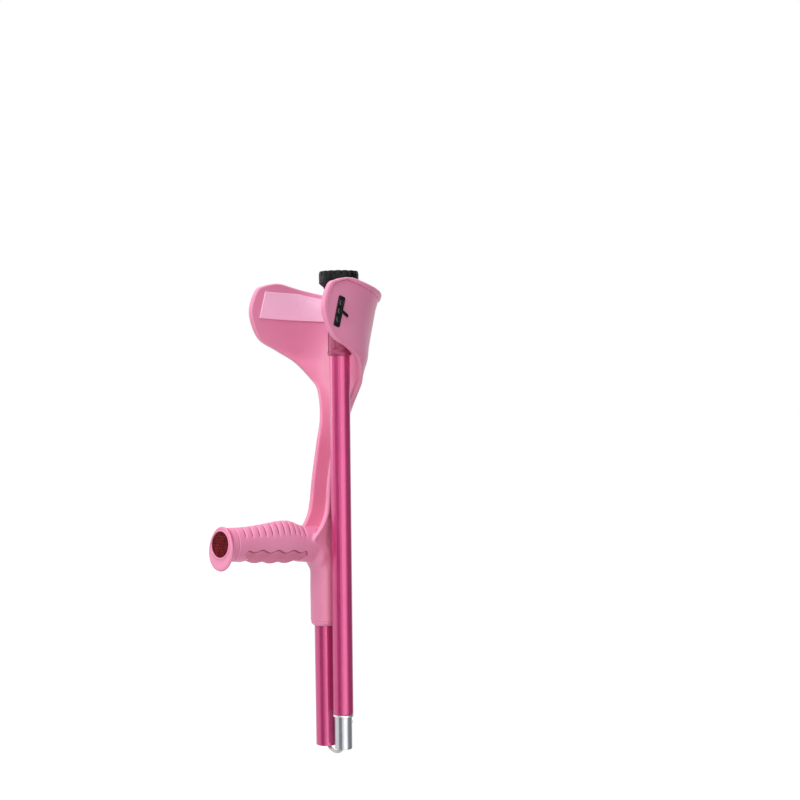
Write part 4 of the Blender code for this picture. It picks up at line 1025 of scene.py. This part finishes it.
def makeEndCap(c, g):
    # The egg outline shrinks into the lens's circle as the profile runs inwards.
    angle = around(c["sides"])
    high, side = np.cos(angle), np.sin(angle)
    place, egg, circle = np.array(c["profile"]).T[..., None]
    tall = egg * (high * c["height"] / 2 - c["drop"]) + circle * (high * c["lensRadius"])
    wide = egg * (side * c["width"] / 2 * (1 - c["egg"] * high)) + circle * (side * c["lensRadius"])
    grid = gripPoints(g["length"] + c["gap"] + place + 0 * tall, tall, wide, g)
    piece = gridPiece("gripEndCap", grid, fromTube, caps=(False, False), merge=1e-5, sharp=50)
    smoothing = piece.modifiers.new("smoothing", "SUBSURF")
    smoothing.levels = smoothing.render_levels = 1
    return piece


finish(makeEndCap(endCap, grip), mouldedPink, "handle_frame", "grip_end_cap")

lens = {"radius": 0.0130, "depth": 0.0030, "dome": 0.0005, "facet": 0.0030, "facetHeight": 0.00022, "lip": 0.0012,
        "edge": 0.0003, "rings": 64, "sides": 144}


def makeReflector(p, c, g):
    # A low dome under a plain lip, covered with prisms: three triangle waves, 60 degrees apart, added up.
    radius, edge = p["radius"], p["edge"]
    rings = np.concatenate([[radius, radius, radius - edge], np.linspace(radius - p["lip"], 0, p["rings"])])
    r, angle = np.meshgrid(rings, around(p["sides"]), indexing="ij")
    high, side = r * np.cos(angle), r * np.sin(angle)
    waves = [np.abs(((high * math.cos(t) + side * math.sin(t)) / p["facet"]) % 1 * 2 - 1)
             for t in (0, np.pi / 3, -np.pi / 3)]
    inside = ease(p["lip"], p["lip"] * 1.15, radius - r)
    height = p["depth"] + p["dome"] * (1 - (r / radius) ** 2) - p["facetHeight"] * sum(waves) * inside
    height[0], height[1] = 0, p["depth"] - edge
    points = gripPoints(g["length"] + c["gap"] + c["thickness"] - p["depth"] + height, high, side, g)
    return gridPiece("endReflector", points, fromTube, caps=(True, False), sharp=8)


finish(makeReflector(lens, endCap, grip), reflectorRed, "handle_frame", "end_reflector")
print("end cap and reflector made")

# Tubes, spigot, ring, collar and ferrule. Tube heights are from its lower end, leg heights from the spigot's tip

tubes = {
    "sides": 112, "holeRadius": 0.0036, "holeSides": 36, "holeReach": (0.004, 0.020), "sharp": 34,
    # place, outer and inner radius, ends, their rounding, rows between them, and heights of the holes
    "upperTube": (fromTube, 0.011, 0.0098, 0, 0.234, 0.0005, 0.0004, 60, (0.0079,)),
    "legOuterTube": (fromLeg, 0.011, 0.0098, 0.0373, 0.4333, 0.0010, 0.0004, 100,
                     tuple(0.1380 + 0.0254 * k for k in range(10))),
    "innerTube": (fromLeg, 0.0095, 0.0083, 0.1284, 0.5050, 0.0004, 0.0004, 100, (0.1380 + 0.0254,)),
    "chromeSpigot": (fromLeg, 0.0095, 0.0079, 0, 0.0745, 0.0007, 0.0004, 30, (0.0263,)),
    "jointRing": (fromLeg, 0.0112, 0.0098, 0.0345, 0.0370, 0.0007, 0.0007, 2, ()),
}


def makePipe(name, t):
    # A half section turned round: outer side up in even rows, then the inner side down, corners rounded. Round
    # holes go through its wall on the +x side.
    place, outer, inner, low, high, lowEdge, highEdge, rows, holes = t[name]
    thin = (outer - inner) * 0.45       # the most that a wall's inner corner is rounded
    corners = [(inner, low), (outer, low), (outer, high), (inner, high)]
    line = roundedLine(corners, [min(lowEdge, thin), lowEdge, highEdge, min(highEdge, thin)], 6)
    steps = np.linspace(low + lowEdge, high - highEdge, rows + 2)[1:-1]
    outline = np.concatenate([line[:12], np.column_stack([np.full(rows, outer), steps]),
                              line[12:], np.column_stack([np.full(rows, inner), steps[::-1]])])
    grid = turned(outline[:, :1], outline[:, 1:], around(t["sides"]))
    body = gridPiece(name, grid, place, closedRows=True, caps=(False, False))
    if holes:
        starts, ends = ([place(np.array([x, 0, z])) for z in holes] for x in t["holeReach"])
        shapeBy(body, ("DIFFERENCE", roundBars(starts, ends, t["holeRadius"], t["holeSides"])))
    smoothShade(body.data, t["sharp"])
    return body


finish(makePipe("upperTube", tubes), tubePink, "handle_frame", "upper_tube")
finish(makePipe("legOuterTube", tubes), tubePink, "leg", "leg_outer_tube")
finish(makePipe("innerTube", tubes), tubePink, "lower_leg", "inner_tube")
finish(makePipe("chromeSpigot", tubes), spigotChrome, "leg", "spigot")
finish(makePipe("jointRing", tubes), ringSilver, "leg", "joint_ring")
print("tubes, spigot and ring made")

collar = {
    "low": 0.4221, "high": 0.4486, "radius": 0.0124, "tubeBore": 0.0113, "innerBore": 0.0098, "step": 0.4336,
    "lip": 0.0006, "lipLength": 0.0052, "edge": 0.0009, "sides": 144, "panel": 0.0008, "panelFrom": 0.0075,
    "panelTo": 0.0035, "panelRise": 0.0012, "panelTurn": 220, "panelHalf": 40, "panelEdge": 7,      # degrees
}


def makeCollar(c):
    # Radius over height and angle: a rounded lip at the low end, a soft crown, and one raised rounded panel.
    low, high, edge = c["low"], c["high"], c["edge"]
    z = np.concatenate([[low], low + edge * (1 - np.cos(np.linspace(0.3, 1.57, 5))),
                        np.linspace(low + edge * 1.2, high - edge * 1.2, 48),
                        high - edge * (1 - np.sin(np.linspace(0, 1.25, 5))), [high]])[:, None]
    up, down = z - low, high - z
    corner = np.clip(np.minimum(up, down) / edge, 0, 1)
    rounding = edge * (1 - np.sqrt(np.clip(1 - (1 - corner) ** 2, 0, 1)))
    lip = c["lip"] * np.sin(np.pi * np.clip(up / c["lipLength"], 0, 1)) ** 0.7
    angle = around(c["sides"])
    away = np.degrees(np.abs((angle - math.radians(c["panelTurn"]) + np.pi) % tau - np.pi))
    panel = (c["panel"] * ease(c["panelFrom"], c["panelFrom"] + c["panelRise"], up)
             * ease(c["panelTo"], c["panelTo"] + c["panelRise"], down)
             * (1 - ease(c["panelHalf"] - c["panelEdge"], c["panelHalf"], away)))
    bore = np.array([(c["innerBore"], high), (c["innerBore"], c["step"]), (c["tubeBore"], c["step"]),
                     (c["tubeBore"], low)])
    grid = np.concatenate([turned(c["radius"] - rounding + lip + panel, z, angle),
                           turned(bore[:, :1], bore[:, 1:], angle)])
    return gridPiece("legCollar", grid, fromLeg, closedRows=True, caps=(False, False), sharp=42)


finish(makeCollar(collar), collarPinkPaintedShade, "leg", "collar")

ferrule = {
    "low": 0.4751, "height": 0.038, "neck": 0.0125, "base": 0.0214, "band": 0.014, "socket": 0.0098,
    "floor": 0.5066, "notches": 16, "notchDepth": 0.0013, "notchDrop": 0.0018, "groove": 0.00035, "sides": 240,
    "bandRows": 14,
    "radii": (0.0004, 0.0007, 0.0006, 0.0020, 0.0014, 0.0009, 0.0007, 0.0008, 0.0004, 0.0003, 0.0003, 0.0003,
              0.0003, 0.0003, 0.0003, 0.0004),      # of the outline's corners
}


def makeFerrule(f):
    # A turned outline from the socket's mouth over the neck, flare and band to the sole, with its corners
    # rounded; the band's rim is drawn in and lowered at each notch: a smooth wave raised to a power.
    low, high = f["low"], f["low"] + f["height"]
    neck, base, band = f["neck"], f["base"], high - f["band"]
    corners = [(f["socket"] + 0.0004, low), (neck + 0.0003, low), (neck, low + 0.0030), (neck + 0.0006, low + 0.0100),
               (neck + 0.0040, band - 0.0030), (base - 0.0018, band - 0.0006), (base, band + 0.0012),
               (base, high - 0.0032), (base - 0.0008, high), (base - 0.0045, high), (base - 0.0050, high - 0.0012),
               (base - 0.0090, high - 0.0012), (base - 0.0095, high), (0.0022, high), (0.0018, f["floor"]),
               (f["socket"], f["floor"])]
    outline = roundedLine(corners, f["radii"], 6)
    # more rows up the band, where the notches are
    rows = np.linspace(band + 0.0025, high - 0.0045, f["bandRows"])
    at = np.flatnonzero(outline[:, 1] > band + 0.0019)[0]
    outline = np.insert(outline, at, np.column_stack([np.full(len(rows), base), rows]), axis=0)
    angle = around(f["sides"])
    radius, z = outline[:, :1], outline[:, 1:]
    outside = radius > base - 0.0035
    wave = (0.5 + 0.5 * np.cos(f["notches"] * angle)) ** 6 * outside
    line = f["groove"] * np.exp(-((z - band - 0.0036) / f["groove"]) ** 2) * outside
    reach = radius - f["notchDepth"] * wave * ease(high - 0.0085, high - 0.0020, z) - line
    drop = f["notchDrop"] * wave * ease(high - 0.0042, high - 0.0002, z)
    return gridPiece("rubberFerrule", turned(reach, z - drop, angle), fromLeg, closedRows=True, caps=(False, False),
                     sharp=46)


finish(makeFerrule(ferrule), blackRubber, "lower_leg", "ferrule")
print("collar and ferrule made")

# The elastic cord, in four runs
cord = {
    "radius": 0.0019, "sides": 32, "step": 0.0006, "strands": 8, "pitch": 0.0085, "relief": 0.00012,
    "top": 0.012, "lead": 0.002, "gap": 0.0003, "upperEnd": 0.038, "anchorTop": 0.198, "stopTop": 0.070,
    "sag": 0.0046, "split": 392,        # of the loop's 401 points, where it passes from the tube to the leg
    "inset": 0.0022,
}


def braidedCord(name, points, c, body, node):
    # A tube along a path. Its radius rises where strands cross: the product of two sines that wind opposite
    # ways. The same two windings are its UV map, so that the material's weave lies on the relief.
    reach = np.concatenate([[0], np.cumsum(np.linalg.norm(np.diff(points, axis=0), axis=1))])
    want = np.linspace(0, reach[-1], max(4, int(reach[-1] / c["step"])))
    path = np.column_stack([np.interp(want, reach, points[:, axis]) for axis in range(3)])
    along = unit(np.gradient(path, axis=0))
    side = unit(np.cross(along, np.array([0.31, 0.95, 0.0])))
    other = np.cross(along, side)
    turn = np.arange(c["sides"]) / c["sides"]
    lay = want[:, None] / c["pitch"]
    weave = np.abs(np.sin(np.pi * c["strands"] * (turn + lay)) * np.sin(np.pi * c["strands"] * (turn - lay)))
    radius = (c["radius"] - c["relief"] * (1 - weave))[..., None]
    angle = tau * turn[:, None]
    grid = path[:, None] + radius * (np.cos(angle) * side[:, None] + np.sin(angle) * other[:, None])
    rows, columns = grid.shape[:2]
    mesh = bpy.data.meshes.new(name)
    mesh.from_pydata(grid.reshape(-1, 3).tolist(), [], gridFaces(rows, columns, caps=(True, True)))
    r, k = np.meshgrid(np.arange(rows - 1), np.arange(columns), indexing="ij")
    u = np.stack([k, k + 1, k + 1, k], axis=-1) / columns * c["strands"] / 2
    v = lay[np.stack([r, r, r + 1, r + 1], axis=-1), 0] * c["strands"] / 2
    ends = np.zeros(2 * 2 * columns)
    mesh.uv_layers.new(name="braid").data.foreach_set("uv", np.append(np.stack([u, v], axis=-1).ravel(), ends))
    shape = bmesh.new()
    shape.from_mesh(mesh)
    bmesh.ops.recalc_face_normals(shape, faces=shape.faces)
    shape.to_mesh(mesh)
    shape.free()
    smoothShade(mesh, 60)
    finish(addObject(name, mesh), cordWhite, body, node)


def makeCords(c):
    # Two straight runs, and between them a loop in two parts, each parted by a small gap.
    def upright(low, high):
        return np.linspace(0, 1, 60)[:, None] * np.array([0, 0, high - low]) + np.array([0, 0, low])

    inTube = fromTube(upright(c["upperEnd"], c["anchorTop"] - c["gap"]))
    inLeg = fromLeg(upright(c["top"], c["stopTop"] - c["gap"]))
    braidedCord("cordUpper", inTube, c, "handle_frame", "cord_upper")
    braidedCord("cordLower", inLeg, c, "cord_end", "cord_lower")
    # The loop hangs from mouth to mouth: level share half a cosine, depth a sine to the power 0.75
    start = tubeFoot + (0, 0, c["top"])
    end = fromLeg(np.array([0, 0, c["top"] - c["gap"]]))
    mouth = end - legUp * c["lead"]
    turn = np.linspace(0, np.pi, 401)[:, None]
    loop = start + (mouth - start) * (0.5 - 0.5 * np.cos(turn))
    loop[:, 2:] -= (c["top"] + c["sag"]) * np.clip(np.sin(turn), 0, None) ** 0.75
    first = np.vstack([start + (0, 0, c["upperEnd"] - c["gap"] - c["top"]), loop[:c["split"]]])
    second = np.vstack([loop[c["split"] + 1:], end])
    # Two points on the loop's level run, inset from its ends, with the tube's and the draw's bodies
    level = (mouth - start) * (1, 1, 0)
    inset = c["inset"] * unit(level)
    across = ("handle_frame", "cord_draw", tuple(start + inset), tuple(start + level - inset))
    braidedCord("cordBendUpper", first, c, across, "cord_bend_upper")
    braidedCord("cordBendLower", second, c, "cord_turn", "cord_bend_lower")


makeCords(cord)
print("cord made")

# Spring clips: the CAD's own meshes, copied and merged
springs = {
    "foldSpringButton": ("fold_spring_button", "leg", "fold_button"),
    "heightSpringButton": ("height_spring_button", "lower_leg", "height_button"),
}
springStay, springGo = -0.0040, 0.0040      # along the press, from the leg's axis
springSharp = 30        # degrees


def makeSprings(settings):
    # The CAD's own meshes, merged, with two points across the leg's axis either side of its middle.
    for name, (node, parent, button) in settings.items():
        source = frame["nodes"][node]
        mesh = source.data.copy()
        mesh.transform(source.matrix_world)
        shape = bmesh.new()
        shape.from_mesh(mesh)
        bmesh.ops.remove_doubles(shape, verts=shape.verts, dist=1e-6)
        shape.to_mesh(mesh)
        shape.free()
        smoothShade(mesh, springSharp)
        low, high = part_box(node)
        middle = legFoot + legUp * ((low.z + high.z) / 2 - legFoot[2])
        ends = (tuple(middle + legRear * reach) for reach in (springStay, springGo))
        finish(addObject(name, mesh), springSteel, (parent, button, *ends), node)


makeSprings(springs)
print("spring clips made")

# CAD nodes that stay, with finishes of their own
keptNodes = {
    "ferrule_washer": springSteel, "cord_anchor_plug": blackPlastic, "cord_stop_plug": blackPlastic,
    "glide_bush": blackPlastic, "tube_end_plug": blackPlastic,
    "cord_knot_upper": knotWhite, "cord_knot_lower": knotWhite,
}
for name, material in keptNodes.items():
    for place in frame["nodes"][name].material_slots:
        place.link = "OBJECT"
        place.material = material
print("kept nodes finished")

# Stage: world, lamps, dark cards and floor
studio = {
    "worldLevel": 0.30,
    "target": (0.0, 0.0, 0.02),
    # place as right, towards the camera and up, in metres; then width, height, and power in watts
    "lamps": {
        "key": ((-0.85, 1.30, 0.95), 1.4, 1.4, 21.0),
        "softbox": ((0.77, 1.51, 0.00), 1.3, 2.4, 10.5),
        "top": ((-0.10, 0.15, 1.60), 1.2, 1.2, 15.0),
        "rim": ((-1.30, -0.55, 0.40), 0.8, 0.8, 3.5),
    },
    # angle round the object from the camera, distance, height of the middle, width, height and grey
    "cards": {"card1": (-40, 1.00, 0.10, 0.80, 3.0, 0.03), "card2": (94, 0.95, 0.10, 1.40, 3.0, 0.12)},
    "floorHalf": 30, "floorGrey": 0.86,
    "floorDrop": 0.010,         # below the leg's reach
    "floorLift": (0.22, 0.80), "floorSpread": (0.35, 1.3),      # its own light, near and far, and where
}


def seenRays(tree):
    # 1 for camera, mirror and see-through rays, and 0 for the rest.
    path = tree.nodes.new("ShaderNodeLightPath").outputs
    either = maths(tree, "MAXIMUM", path["Is Camera Ray"], path["Is Glossy Ray"])
    return maths(tree, "MAXIMUM", either, path["Is Transmission Ray"])


def makeWorld(s):
    # White where it is seen, and a plain grey light on everything else.
    world = bpy.data.worlds.new("world")
    bpy.context.scene.world = world
    world.use_nodes = True
    tree = world.node_tree
    white = mixColour(tree, seenRays(tree), (s["worldLevel"],) * 3, (1.0, 1.0, 1.0))
    setInputs(tree, tree.nodes["Background"], {"Color": white})


def makeLamps(s):
    # Area lamps that all face the target.
    right, back = lookingFrom(cameraSettings["azimuth"])
    target = Vector(s["target"])
    for name, ((across, near, high), width, height, power) in s["lamps"].items():
        data = bpy.data.lights.new(name, "AREA")
        data.shape, data.size, data.size_y, data.energy = "RECTANGLE", width, height, power
        lamp = addObject(name, data)
        lamp.visible_camera = False
        lamp.location = target + right * across + back * near + Vector((0, 0, high))
        lamp.rotation_euler = (target - lamp.location).to_track_quat("-Z", "Y").to_euler()


def stagePlane(name, middle, across, along, grey, inputs):
    # A flat sheet of the stage: its middle, its two half sides, and the inputs of its plain shader.
    material, tree, shader, place = plainMaterial(name)
    setInputs(tree, shader, {"Base Color": (grey,) * 3, "Emission Strength": 1.0, **inputs(tree, place)})
    corners = [tuple(middle + across * x + along * y) for x, y in ((-1, -1), (1, -1), (1, 1), (-1, 1))]
    mesh = bpy.data.meshes.new(name)
    mesh.from_pydata(corners, [], [(0, 1, 2, 3)])
    mesh.materials.append(material)
    plane = addObject(name, mesh)
    return plane


def makeCards(s):
    # Tall dark cards beside the object, seen only in its gloss, give the tubes their darker bands.
    for name, (angle, distance, high, width, height, grey) in s["cards"].items():
        side, away = (np.array(v) for v in lookingFrom(cameraSettings["azimuth"] + angle))
        card = stagePlane(name, tubeFoot + away * distance + (0, 0, high), side * width / 2,
                          np.array([0, 0, height / 2]), 0.0,
                          lambda tree, place: {"Specular IOR Level": 0.0, "Emission Color": (grey,) * 3})
        card.visible_camera = card.visible_diffuse = card.visible_shadow = False


def makeFloor(s):
    # The floor lies below the reach of the leg when it hangs unfolded and fully drawn out.
    reach = cadHigh[2] + joints["height"]["range_m"][1]
    middle = np.array([0, 0, 2 * joints["unfold"]["pos_m"][2] - reach - s["floorDrop"]])

    def glow(tree, place):
        # It lights itself for the camera, more where it is further away.
        far = newNode(tree, "VectorMath", {0: place}, operation="LENGTH").outputs["Value"]
        lift = maths(tree, "MULTIPLY", seenRays(tree), spread(tree, far, *s["floorLift"], *s["floorSpread"]))
        return {"Emission Color": lift, "Roughness": 0.9, "Specular IOR Level": 0.1}

    half = s["floorHalf"]
    floor = stagePlane("floor", middle, np.array([half, 0, 0]), np.array([0, half, 0]), s["floorGrey"], glow)
    floor.visible_glossy = False


makeWorld(studio)
makeLamps(studio)
makeCards(studio)
makeFloor(studio)
print("stage set")
